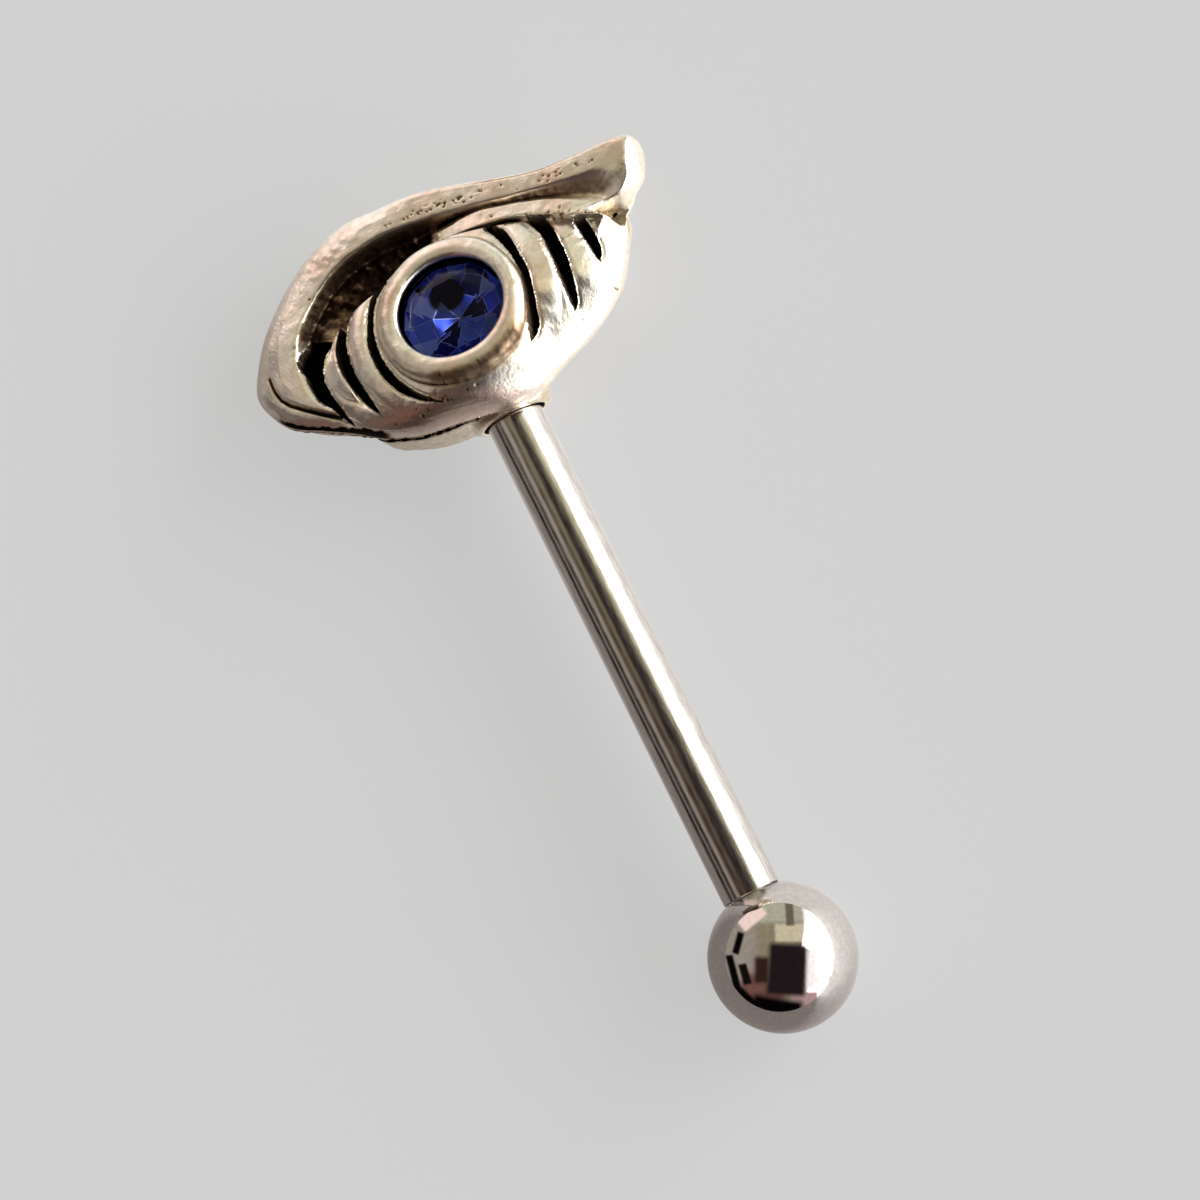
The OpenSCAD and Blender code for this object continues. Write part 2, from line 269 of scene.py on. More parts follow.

# How dark the silver is, from 0 polished to 1 black, patina with painted shade in places, and its look
silverPlan = {
    "nearCavity": (0.09, 0.01, 0.06, 0.8),  # reach, depth where it starts, depth per unit of dark, the most
    "wideCavity": (0.32, 0.09, 0.30, 0.75),
    "inNotch": 0.24,
    "openSeam": 0.30,
    "seam": (0.5, 1.0, 1.0, 1.0, 1.0, 0.5),  # the rows of the groove and one to each side of it
    "onBack": 0.26,
    "shades": [(0.0, "#F7F3EB"), (0.22, "#DFD5BF"), (0.42, "#AC9A82"), (0.60, "#6C5C4E"), (0.78, "#2C201A"),
               (0.94, "#060403")],
    "mottling": (0.12, 0.40, -0.15),  # grain in mm, then how much of the noise is added and shifted
    "rosy": ("#E8C9BD", 1.3, 0.45, 0.65, 0.5),  # colour, grain in mm, noise where it starts and ends, share
    "roughness": (0.29, 0.6),
    "grain": (0.07, 0.6, 0.012),  # size in mm, strength and depth in mm
}

# Outline at its widest. Columns: angle, radius, height.
girth = [
    (0, 3.64, -1.10), (6, 3.88, -1.05), (8.5, 3.97, -0.92), (10, 4.24, -0.72),
    (12, 4.60, -0.66), (15, 4.84, -0.62), (19.5, 5.06, -0.60), (21.8, 5.06, -0.58),
    (24, 4.74, -0.62), (27, 4.34, -0.68), (35, 3.68, -0.80), (45, 3.33, -0.90), (57, 3.16, -0.98),
    (72, 3.11, -1.02), (87, 3.22, -1.05), (99, 3.42, -1.05), (108, 3.65, -1.05),
    (118, 3.91, -1.05), (130, 4.13, -1.08), (145, 4.34, -1.10), (158, 4.56, -1.10),
    (168, 4.65, -1.10), (175, 4.42, -1.10), (181, 4.12, -1.10), (188, 3.56, -1.10),
    (197, 3.10, -1.08), (210, 2.76, -1.08), (225, 2.41, -1.10), (240, 2.12, -1.10),
    (255, 2.02, -1.10), (275, 2.08, -1.10), (295, 2.17, -1.10), (315, 2.34, -1.10),
    (335, 2.86, -1.10), (350, 3.36, -1.10),
]

# The upper lid. Columns: angle, then radius and height of the eye's edge, of the floor or fold
# beside it, of the hollow under the lid, of the lid's inner edge and of its outer edge.
lid = [
    (8, 3.52, -0.72, 3.70, -0.46, 3.74, -0.46, 3.78, -0.46, 3.82, -0.50),
    (12, 3.24, -0.56, 3.52, -0.36, 3.84, -0.44, 4.16, -0.32, 4.42, -0.28),
    (16, 2.98, -0.52, 3.42, -0.35, 3.70, -0.45, 4.20, -0.20, 4.70, -0.16),
    (20, 2.80, -0.50, 3.28, -0.34, 3.48, -0.45, 3.98, -0.18, 4.98, -0.10),
    (22.5, 2.72, -0.50, 3.19, -0.34, 3.37, -0.44, 3.76, -0.18, 4.84, -0.12),
    (28, 2.55, -0.49, 2.99, -0.34, 3.11, -0.42, 3.32, -0.19, 4.14, -0.15),
    (36, 2.36, -0.48, 2.73, -0.34, 2.82, -0.40, 2.94, -0.22, 3.52, -0.18),
    (46, 2.14, -0.47, 2.49, -0.34, 2.56, -0.39, 2.64, -0.25, 3.18, -0.21),
    (60, 1.89, -0.46, 2.29, -0.37, 2.37, -0.42, 2.44, -0.28, 3.00, -0.25),
    (74, 1.80, -0.48, 2.12, -0.46, 2.30, -0.58, 2.38, -0.32, 3.01, -0.28),
    (84, 1.76, -0.50, 2.07, -0.50, 2.33, -0.76, 2.41, -0.34, 3.09, -0.31),
    (90, 1.75, -0.50, 1.98, -0.70, 2.38, -0.84, 2.46, -0.35, 3.16, -0.33),
    (100, 1.74, -0.50, 1.88, -1.05, 2.52, -0.90, 2.60, -0.38, 3.30, -0.36),
    (115, 1.76, -0.50, 1.92, -1.05, 2.79, -0.90, 2.88, -0.43, 3.73, -0.45),
    (130, 1.86, -0.50, 2.04, -1.05, 3.07, -0.90, 3.18, -0.52, 4.00, -0.57),
    (145, 2.32, -0.50, 2.48, -1.02, 3.28, -0.92, 3.41, -0.60, 4.22, -0.64),
    (156, 2.68, -0.58, 2.82, -0.98, 3.44, -0.94, 3.54, -0.63, 4.36, -0.67),
    (162, 2.80, -0.62, 2.93, -0.72, 3.45, -0.76, 3.55, -0.66, 4.36, -0.69),
    (170, 2.86, -0.64, 3.00, -0.66, 3.36, -0.68, 3.50, -0.68, 4.26, -0.71),
    (178, 2.92, -0.66, 3.04, -0.67, 3.30, -0.70, 3.42, -0.70, 3.80, -0.72),
    (188, 2.80, -0.68, 2.88, -0.70, 3.00, -0.74, 3.10, -0.76, 3.26, -0.80),
    (198, 2.50, -0.66, 2.62, -0.70, 2.74, -0.78, 2.84, -0.84, 2.95, -0.92),
]

# Open slots between the ribs: floor height, whether the fold covers the upper end, how black it is,
# and rows of angle, radius of the near edge and radius of the far edge.
slots = [
    (-1.05, False, 1.2, [
        (126, 1.72, 1.79), (140, 1.75, 1.93), (155, 1.73, 1.87), (170, 1.71, 1.90), (185, 1.71, 1.91),
        (200, 1.74, 1.94), (213, 1.78, 1.96), (225, 1.84, 1.95), (235, 1.88, 1.93), (242, 1.90, 1.90)]),
    (-1.25, False, 1.2, [
        (147, 2.28, 2.56), (157, 2.36, 2.62), (165, 2.38, 2.66), (174, 2.37, 2.64), (183, 2.36, 2.60),
        (192, 2.37, 2.55), (202, 2.43, 2.53), (208, 2.50, 2.50)]),
    (-1.28, False, 1.2, [
        (155, 2.74, 3.40), (160, 2.84, 3.49), (165, 2.96, 3.58), (170, 3.03, 3.44), (175, 3.06, 3.40),
        (181, 3.02, 3.33), (187, 2.99, 3.14), (192, 2.98, 3.07), (198, 2.99, 2.99)]),
    (-1.20, True, 1.2, [
        (-53, 1.80, 1.80), (-45, 1.73, 1.84), (-38, 1.67, 1.87), (-28, 1.65, 1.83), (-13, 1.63, 1.79),
        (2, 1.65, 1.81), (15, 1.67, 1.84), (27, 1.72, 1.93), (38, 1.80, 2.03), (50, 1.88, 2.04)]),
    (-1.30, True, 1.2, [
        (-27, 2.40, 2.40), (-23, 2.37, 2.46), (-19, 2.32, 2.49), (-13, 2.27, 2.49), (-6, 2.24, 2.49),
        (2, 2.24, 2.52), (9, 2.26, 2.54), (17, 2.32, 2.62), (24, 2.35, 2.66), (32, 2.37, 2.72)]),
    (-1.00, True, 0.72, [
        (-5, 3.06, 3.06), (-3, 3.02, 3.13), (1, 2.99, 3.19), (6, 2.98, 3.21), (12, 3.00, 3.22),
        (18, 3.02, 3.22)]),
]

# Raised ribs. Columns: x and y of the upper end, x and y of the lower end, bow, half width, rise.
ribs = [
    (-1.62, 1.38, -1.72, -1.28, -0.45, 0.24, 0.09),
    (-2.46, 0.92, -2.60, -0.92, -0.28, 0.24, 0.09),
    (1.72, 1.30, 1.68, -1.15, 0.27, 0.26, 0.08),
    (2.56, 0.92, 2.66, -0.78, 0.16, 0.28, 0.05),
]

# The seat under the stone and the ring round it. Columns: radius, height.
ringProfile = [
    (0.20, -1.14), (0.55, -0.853), (0.90, -0.566), (1.20, -0.32), (1.20, -0.13), (1.16, -0.09),
    (1.12, -0.05), (1.122, -0.02), (1.135, 0.01), (1.16, 0.035), (1.20, 0.055), (1.26, 0.068),
    (1.33, 0.07), (1.40, 0.06), (1.47, 0.04), (1.53, 0.01), (1.575, -0.03), (1.605, -0.08),
    (1.625, -0.14), (1.635, -0.20),
]

# The hand-cut crease low on the left of the lid, as x and y.
crease = [(-4.12, 1.02), (-4.12, 0.72), (-4.06, 0.45), (-3.93, 0.24), (-3.68, -0.02), (-3.40, -0.28),
          (-3.05, -0.58)]

# The notch between the pointed tail and the rim: the tail's lower edge and the rim's edge, as x and y.
tailEdge = [(3.28, 0.76), (3.66, 0.78), (4.00, 0.75), (4.40, 0.84), (4.80, 1.00)]
rimEdge = [(3.82, 0.00), (3.76, 0.16), (3.66, 0.31), (3.54, 0.47), (3.40, 0.61), (3.28, 0.76)]

# Small casting pits, in patches. Columns: x, y, reach along x and y, turn in degrees, number.
pitPatches = [
    (0.60, 2.50, 1.10, 0.13, -12, 40),
    (3.10, 1.72, 0.80, 0.10, -8, 16),
    (2.60, 1.05, 0.90, 0.10, -28, 18),
    (3.05, -1.00, 0.55, 0.12, 45, 26),
    (2.20, -1.75, 0.55, 0.10, 22, 14),
    (-0.80, -1.55, 1.20, 0.20, -8, 22),
    (-2.90, 1.75, 0.70, 0.20, 48, 10),
]

# Where each detail lies round the eye, in degrees: it starts, is full, begins to fade and ends.
spans = {
    "steeper": (250, 285, 335, 352), "bevel": (88, 108, 168, 184), "moreSpokes": (4, 8, 14, 18),
    "turnedLines": (100, 125, 215, 240), "hollow": (74, 88, 154, 157), "foldShadow": (36, 48, 92, 102),
    "flute": (12, 16, 76, 88), "fineLine": (19, 24, 50, 80), "shadeUnderRing": (222, 244, 310, 324),
    "darkRimBand": (175, 181, 208, 214), "fold": (6, 10, 80, 90), "narrowRing": (-50, -24, 10, 60),
    "openSeam": (176, 190, 262, 280), "underTail": (6, 11, 24, 36), "leftCorner": (172, 184, 194, 205),
    "rightCorner": (284, 300, 335, 352), "raisedSeam": (200, 214, 262, 280),
    "proudBack": (196, 208, 232, 250), "blackened": (176, 184, 208, 222),
}


def over(name, angle):
    return between(angle, *spans[name])


def reading(table, column, angle):
    # smooth reading of one column of a table whose first column is an angle
    keys = np.array([row[0] for row in table], float)
    values = np.array([row[column] for row in table], float)
    count = len(keys)
    turned = np.mod(angle, 360)
    i = np.searchsorted(keys, turned, side="right") - 1
    key = lambda j: keys[j % count] + 360 * np.floor_divide(j, count)
    value = lambda j: values[j % count]
    step = key(i + 1) - key(i)
    slopeIn = step * (value(i + 1) - value(i - 1)) / (key(i + 1) - key(i - 1))
    slopeOut = step * (value(i + 2) - value(i)) / (key(i + 2) - key(i))
    s = (turned - key(i)) / step
    return (value(i) * (2 * s ** 3 - 3 * s ** 2 + 1) + slopeIn * (s ** 3 - 2 * s ** 2 + s)
            + value(i + 1) * (3 * s ** 2 - 2 * s ** 3) + slopeOut * (s ** 3 - s ** 2))


def unevenness(x, y, grain, seed):
    # smooth random field between -1 and 1 whose lumps are about one grain across
    lattice = np.random.default_rng(seed).uniform(-1, 1, (97, 97))
    u, v = x / grain + 48, y / grain + 48
    i, j = np.floor(u).astype(int), np.floor(v).astype(int)
    s, t = u - i, v - j
    s, t = s * s * (3 - 2 * s), t * t * (3 - 2 * t)
    at = lambda a, b: lattice[a % 97, b % 97]
    return blendTo(blendTo(at(i, j), at(i + 1, j), s), blendTo(at(i, j + 1), at(i + 1, j + 1), s), t)


def lineDistance(x, y, points):
    best = np.full(x.shape, 9.0)
    place = np.zeros(x.shape)
    for n, ((ax, ay), (bx, by)) in enumerate(zip(points, points[1:])):
        dx, dy = bx - ax, by - ay
        s = np.clip(((x - ax) * dx + (y - ay) * dy) / (dx * dx + dy * dy), 0, 1)
        d = np.hypot(x - ax - s * dx, y - ay - s * dy)
        place = np.where(d < best, (n + s) / (len(points) - 1), place)
        best = np.minimum(best, d)
    return best, place


def dome(r, rim, low, angle):
    # height of the domed eye and lower lid, which rolls over more low on the right
    inner, foot = headPlan["ringRadius"], headPlan["ringFoot"]
    steep = min(headPlan["steep"], 0.8 * (foot - low) / (rim - inner))
    slope = blendTo(headPlan["slope"], steep, over("steeper", angle))
    u = np.clip((r - inner) / (rim - inner), 0, 1)
    fall = foot - low - slope * (rim - inner)
    return foot - slope * np.maximum(0, r - inner) - fall * (1 - np.sqrt(1 - u * u))


def lidReading(column, angle):
    return reading(lid, column, np.clip(angle, lid[0][0], lid[-1][0]))


def signedAngle(angle):
    return np.mod(angle + 180, 360) - 180


def slotEdges(rows, angle):
    # near and far radius of a slot at each angle, and whether the slot reaches that angle
    angles, nearR, farR = np.array(rows).T
    turned = signedAngle(angle) if angles[0] < 0 else angle
    near, far = np.interp(turned, angles, nearR), np.interp(turned, angles, farR)
    ragged = 0.012 * unevenness(turned * 0.05, near * 0, 0.12, 31)
    inside = (turned > angles[0]) & (turned < angles[-1]) & (far - near > 0.01)
    return near + ragged, far - ragged * 0.6, inside


def frontSection(angle):
    # control points of one section, from the ring's foot to the outline
    plan = {key: np.array(value) for key, value in headPlan["section"].items()}
    rim, low = reading(girth, 1, angle), reading(girth, 2, angle)
    share = float(smoothStep(angle, 3, 8) if angle < 100 else 1 - smoothStep(angle, 188, 204))
    lidR = np.array([lidReading(column, angle) for column in (1, 3, 5, 7, 9)])
    lidW = np.array([lidReading(column, angle) for column in (2, 4, 6, 8, 10)])
    raised = 1.22 - 0.42 * float(smoothStep(angle, 78, 92))  # the fold is broad and leans outwards on top
    lidR = np.insert(lidR, 1, blendTo(lidR[0], lidR[1], 0.05 + 0.09 * float(smoothStep(angle, 50, 80))))
    lidW = np.insert(lidW, 1, blendTo(lidW[0], lidW[1], raised))
    lowR = blendTo(headPlan["ringRadius"], rim, plan["noLid"])
    keyR = blendTo(lowR, lidR, share)
    keyW = blendTo(dome(lowR, rim, low, angle), lidW, share)
    steps = np.linspace(0, 1, headPlan["section"]["eyeRows"])
    eyeR = blendTo(headPlan["ringEdge"], keyR[0], steps)
    eyeW = dome(eyeR, rim, low, angle)
    eyeW += (keyW[0] - eyeW[-1]) * smoothStep(steps, 0.7, 1)
    eyeW -= 0.05 * smoothStep(steps, 0.86, 0.97) * smoothStep(angle, 12, 44) * (angle < 95)
    bevel = float(over("bevel", angle))
    bandR = blendTo(keyR[4], keyR[5], plan["band"])
    bandW = blendTo(keyW[4], keyW[5], plan["band"]) + blendTo(plan["flat"], plan["bevelled"], bevel)
    bandW = blendTo(dome(bandR, rim, low, angle), bandW, share)
    outR = blendTo(keyR[5], rim, plan["outside"])
    outW = blendTo(keyW[5] - 0.08 - 0.04 * bevel, low, plan["outsideFall"])
    outW = blendTo(dome(outR, rim, low, angle), outW, share)
    outW[-1] = low
    r = np.concatenate([eyeR, keyR[1:5], bandR, outR])
    w = np.concatenate([eyeW, keyW[1:5], bandW, outW])
    corners = len(steps) + np.array([-1, 0, 1, 2, 3, 6, 7, 10])
    return r, w, corners


def placeRows(angle, edges):
    # rows of one section, evenly along it, with a row on each corner and on each slot's edges
    r, w, corners = frontSection(angle)
    along = np.concatenate([[0], np.cumsum(np.hypot(np.diff(r), 0.7 * np.diff(w)) + 1e-5)])
    rows = np.linspace(0, along[-1], headPlan["frontRows"])
    wanted = [along[c] for c in corners] + [float(np.interp(e, r, along)) for e in edges]
    free = np.ones(len(rows), bool)
    free[[0, -1]] = False
    for target in wanted:
        k = int(np.argmin(np.where(free, np.abs(rows - target), 9)))
        if abs(rows[k] - target) < along[-1] / headPlan["frontRows"] * 1.2:
            rows[k] = target
            free[k] = False
    rows = np.sort(rows)
    height = np.interp(rows, along, w)
    soft = height.copy()
    soft[1:-1] = (height[:-2] + 2 * height[1:-1] + height[2:]) / 4
    return np.interp(rows, along, r), soft


def spokeAngles():
    # sections stand closer together where the outline is far from the stone, and most at the notch
    fine = np.linspace(0, 360, 3601)
    rim = reading(girth, 1, fine)
    x, y = rim * np.cos(np.radians(fine)), rim * np.sin(np.radians(fine))
    run = np.hypot(np.diff(x), np.diff(y)) + 0.006
    run *= 1 + 1.6 * over("moreSpokes", fine)[1:]
    along = np.concatenate([[0], np.cumsum(run)])
    return np.interp(np.arange(headPlan["spokes"]) / headPlan["spokes"] * along[-1], along, fine)


def cutSlots(angle, r, w):
    # cuts the slots; here and in the functions below, angle is a column with one row for each section
    plan = headPlan
    foldStart, foldEnd = plan["foldSide"]
    lip, lipDepth = plan["slotLip"]
    edge = lidReading(1, angle)
    dark = np.zeros(r.shape)
    for floor, covered, black, rows in slots:
        near, far, inside = slotEdges(rows, angle)
        wall = np.minimum(plan["slotWall"], (far - near) / 3 + 1e-4)
        bare = np.ones(r.shape)
        if covered:
            underFold = (angle > foldStart) & (angle < foldEnd)
            bare = np.where(underFold, 1 - smoothStep(r, edge - plan["foldLap"], edge), 1)
        mask = between(r, near, near + wall, far - wall, far) * inside * bare
        full = smoothStep(far - near, 0.0, plan["slotFull"])
        shallow = w - plan["slotShallow"]
        w = blendTo(w, np.minimum(w, blendTo(shallow, floor, full)), mask)
        dark = np.maximum(dark, black * mask)
        beside = smoothStep(r, near - lip, near) * (r < near)
        beside = np.maximum(beside, (1 - smoothStep(r, far, far + lip)) * (r > far))
        w = w - lipDepth * beside * beside * full * inside * bare
    return w, dark


def raiseRibs(x, y, w):
    for topX, topY, lowX, lowY, bow, half, rise in ribs:
        steps = np.linspace(0, 1, 13)
        dx, dy = topX - lowX, topY - lowY
        length = math.hypot(dx, dy)
        points = [(lowX + dx * s + dy / length * bow * 4 * s * (1 - s),
                   lowY + dy * s - dx / length * bow * 4 * s * (1 - s)) for s in steps]
        d, place = lineDistance(x, y, points)
        width = half * (1 - 0.45 * (2 * place - 1) ** 2)
        fade = 1 - (2 * place - 1) ** 4
        w = w + rise * fade * np.sqrt(np.clip(1 - (d / width) ** 2, 0, 1))
    return w


def cutLines(angle, x, y, r, w):
    # the crease on the lid and the lines turned round the ring, and how black they are
    plan = headPlan
    half, depth, black = plan["creaseLine"]
    line = softLine(lineDistance(x, y, crease)[0], half)
    w = w - depth * line
    dark = black * line
    for radius, depth in plan["turnedLines"]:
        turned = softLine(r - radius, plan["turnedHalf"]) * over("turnedLines", angle)
        w = w - depth * turned
        dark = np.maximum(dark, plan["turnedBlack"] * depth * turned)
    return w, dark


def brushHollow(angle, r, w, lids):
    # strokes left in the hollow under the lid, where the hollow lies and how dark it is
    plan = headPlan["hollow"]
    edge, floor, wall, top = lids[:4]
    hollow = between(r, edge, floor, top - 0.03, top - 0.005) * over("hollow", angle)
    around = angle * plan["perDegree"] + 0 * r
    broad, fine, patch = plan["grains"]
    stroke = unevenness(around, r * 0.4, broad, 5) + 0.5 * unevenness(around, r, fine, 6)
    w = w + hollow * plan["depth"] * stroke
    strong = np.clip(0.6 + unevenness(around, r, patch, 9), 0, 1)
    lit = smoothStep(angle, 136, 154) * smoothStep(top - r, 0.25, 0.6)
    foot = plan["foot"] * smoothStep(angle, 100, 116) * (1 - smoothStep(r, edge + 0.2, edge + 0.5))
    onWall = smoothStep(r, wall - 0.05, wall)
    scratch = strong * smoothStep(stroke, 0.35, 0.85)
    shade = plan["dark"] - plan["lit"] * lit - plan["wall"] * onWall
    shade = shade - plan["scratch"] * scratch * (1 - onWall) - plan["stroke"] * stroke + foot * (1 - lit)
    return w, hollow, hollow * np.clip(shade, *plan["shades"])


def markEdges(angle, x, y, r, w, lids):
    # painted shadow under the fold, painted shade in the flute over it, a fine line along the lid,
    # painted shadow below the ring and a dark band along the outline low on the left
    plan = headPlan["marks"]
    edge, floor, wall, top, outer = lids
    inFromEdge, half, underBlack = plan["underFold"]
    # painted shadow along the fold's lower edge
    under = softLine(r - edge + inFromEdge, half) * over("foldShadow", angle)
    upper = blendTo(top, wall, 0.25 * (1 - smoothStep(angle, 22, 34)))
    # painted shade on the flute's shadowed slope, darker farther on
    flute = between(r, blendTo(floor, wall, 0.45), wall, upper - 0.05, upper - 0.01) * over("flute", angle)
    start, more, speckle, grain = plan["flute"]
    fluteShade = start + more * smoothStep(angle, 24, 42) + speckle * unevenness(x, y, grain, 14)
    inFromRim, half, depth, lineBlack = plan["fineLine"]
    fineLine = softLine(r - outer + inFromRim, half) * over("fineLine", angle)
    # painted reddish-brown shadow on the slope below the ring
    shadeUnderRing = between(r, *plan["shadeUnderRingRadii"]) * over("shadeUnderRing", angle)
    brownShade = plan["shadeUnderRing"] + plan["shadeUnderRingSpeckle"] * unevenness(x, y, 0.1, 18)
    rim = reading(girth, 1, angle) + 0.03 * unevenness(x, y, 0.09, 17)
    # a dark band along the outline, low on the left
    darkRimBand = smoothStep(r, rim - 0.09, rim - 0.05) * over("darkRimBand", angle)
    dark = [underBlack * under, flute * fluteShade, lineBlack * fineLine, shadeUnderRing * brownShade, darkRimBand]
    return w - depth * fineLine, np.maximum.reduce(dark)


def castSkin(x, y, w):
    # small casting pits, and the unevenness of a casting
    plan = headPlan
    rng = np.random.default_rng(plan["seed"])
    dark = np.zeros(x.shape)
    for px, py, reachX, reachY, turn, count in pitPatches:
        c, s = math.cos(math.radians(turn)), math.sin(math.radians(turn))
        for _ in range(count):
            u, v = rng.normal(0, plan["pitSpread"], 2) * (reachX, reachY)
            size, depth = rng.uniform(*plan["pitSize"]), rng.uniform(*plan["pitDepth"])
            pit = softLine(np.hypot(x - px - u * c + v * s, y - py - u * s - v * c), size)
            w = w - depth * pit
            dark = np.maximum(dark, plan["pitBlack"] * pit)
    w = w + 0.010 * unevenness(x, y, 0.42, 11) + 0.006 * unevenness(x, y, 0.16, 12)
    rough = np.exp(-(((x + 2.0) / 0.7) ** 2 + ((y - 2.85) / 0.3) ** 2))  # a rough patch high on the left
    return w + 0.012 * rough * unevenness(x, y, 0.12, 13), dark


def cutNotch(x, y, w):
    below = np.interp(x, *zip(*tailEdge)) - y
    beyond = x - np.interp(y, [row[1] for row in rimEdge], [row[0] for row in rimEdge])
    cut = smoothStep(below, -0.02, 0.12) * smoothStep(beyond, 0, 0.12) * smoothStep(y, -0.12, 0.10)
    return blendTo(w, np.minimum(w, headPlan["notchFloor"]), cut), cut


def narrowRing(angle, r):
    # draws the ring and the slot beside it in towards the stone on the right
    narrower = headPlan["ringNarrow"] * over("narrowRing", signedAngle(angle))
    return r - narrower * smoothStep(r, 1.25, 1.55) * (1 - smoothStep(r, 1.85, 2.3))


def cavity(x, y, w, reach):
    # how far each point lies below its neighbourhood, from a blurred height map
    cell, across, along, kernelHalf = 0.03, 340, 240, 24
    i = np.clip(((x + 5.0) / cell).astype(int), 0, across - 1)
    j = np.clip(((y + 3.4) / cell).astype(int), 0, along - 1)
    total, count = np.zeros((across, along)), np.zeros((across, along))
    np.add.at(total, (i, j), w)
    np.add.at(count, (i, j), 1)
    kernel = softLine(np.arange(-kernelHalf, kernelHalf + 1) * cell, reach)
    blurLine = lambda line: np.convolve(line, kernel, "same")
    spread = lambda grid: np.apply_along_axis(blurLine, 1, np.apply_along_axis(blurLine, 0, grid))
    mean = np.where(count > 0, total / np.maximum(count, 1), 0)
    filled = (count > 0).astype(float)
    return (spread(mean) / np.maximum(spread(filled), 1e-6))[i, j] - w


def cavityPatina(angle, x, y, r, w, lids, rim):
    # how dark the polishing wheel leaves each place: darkest deep down, and less so on the fold
    plan = silverPlan
    inland = 1 - smoothStep(r, rim - 0.50, rim - 0.22)
    worn = 1 - 0.6 * over("steeper", angle)
    edge, floor = lids[:2]
    fold = over("fold", angle)
    foldTop = fold * between(r, edge, edge + 0.05, floor, floor + 0.06)
    foldFoot = fold * between(r, edge - 0.3, edge - 0.1, edge, edge + 0.05)
    spared = {"nearCavity": 0.8 * foldFoot * (1 - smoothStep(angle, 30, 44)),
              "wideCavity": 0.9 * np.maximum(foldTop, foldFoot)}
    patinaAndShade = 0
    for key, spare in spared.items():
        reach, start, span, most = plan[key]
        depth = cavity(x, y, w, reach) * inland * worn * (1 - spare)
        patinaAndShade = patinaAndShade + np.clip((depth - start) / span, 0, most)
    return patinaAndShade


def toRow(x, y, w):
    # from the eye's own face to the shared frame, mm
    cx, cy, cz = headPlan["centre"]
    return np.stack([cx + x, cy + y * dipCos + w * dipSin, cz - y * dipSin + w * dipCos], -1)


def frontRows(angle):
    # radius and height of the front's rows, one section after another
    plan = headPlan
    foldStart, foldEnd = plan["foldSide"]
    edges = [slotEdges(slot[3], angle) for slot in slots]
    front = []
    for n, a in enumerate(angle):
        stops = []
        for near, far, inside in edges:
            if inside[n]:
                wall = min(plan["slotWall"], (far[n] - near[n]) / 3)
                stops += [near[n], near[n] + wall, far[n] - wall, far[n]]
        if foldStart < a < foldEnd:
            stops.append(float(lidReading(1, a)) - plan["foldLap"])
        front.append(placeRows(a, stops))
    return np.array([row[0] for row in front]), np.array([row[1] for row in front])


def buildFront(angle):
    # radius, height and patina with painted shade, of the seat, the ring and the face, out to the outline
    around = angle[:, None]
    turn = np.radians(angle)[:, None]
    rimR, rimW = reading(girth, 1, angle), reading(girth, 2, angle)
    lids = [lidReading(column, around) for column in (1, 3, 5, 7, 9)]
    r, w = frontRows(angle)
    w = raiseRibs(r * np.cos(turn), r * np.sin(turn), w)
    w, slotDark = cutSlots(around, r, w)
    ring = np.array(ringProfile)
    r = np.hstack([np.repeat(ring[None, :, 0], len(angle), 0), r])
    w = np.hstack([np.repeat(ring[None, :, 1], len(angle), 0), w])
    slotDark = np.hstack([np.zeros((len(angle), len(ring))), slotDark])
    x, y = r * np.cos(turn), r * np.sin(turn)
    cut, lineDark = cutLines(around, x, y, r, w)
    cut, hollow, hollowDark = brushHollow(around, r, cut, lids)
    cut, edgeDark = markEdges(around, x, y, r, cut, lids)
    cut, pitDark = castSkin(x, y, cut)
    cut, notch = cutNotch(x, y, cut)
    seat = np.arange(r.shape[1]) < headPlan["seatRows"]
    w = np.where(seat, w, cut)
    w[:, -1] = np.where(notch[:, -1] > 0, np.minimum(rimW, cut[:, -1]), rimW)
    patinaAndShade = cavityPatina(around, x, y, r, w, lids, rimR[:, None])
    patinaAndShade = patinaAndShade * (1 - hollow) + hollow * np.clip(0.25 * patinaAndShade, 0, 0.2)
    dark = np.maximum.reduce([lineDark, hollowDark, edgeDark, pitDark])
    patinaAndShade = np.maximum.reduce([patinaAndShade, dark + 0.3 * patinaAndShade * hollow, slotDark])
    patinaAndShade = blendTo(patinaAndShade, silverPlan["inNotch"], notch)
    return narrowRing(around, r), w, np.where(seat, 1.0, patinaAndShade)


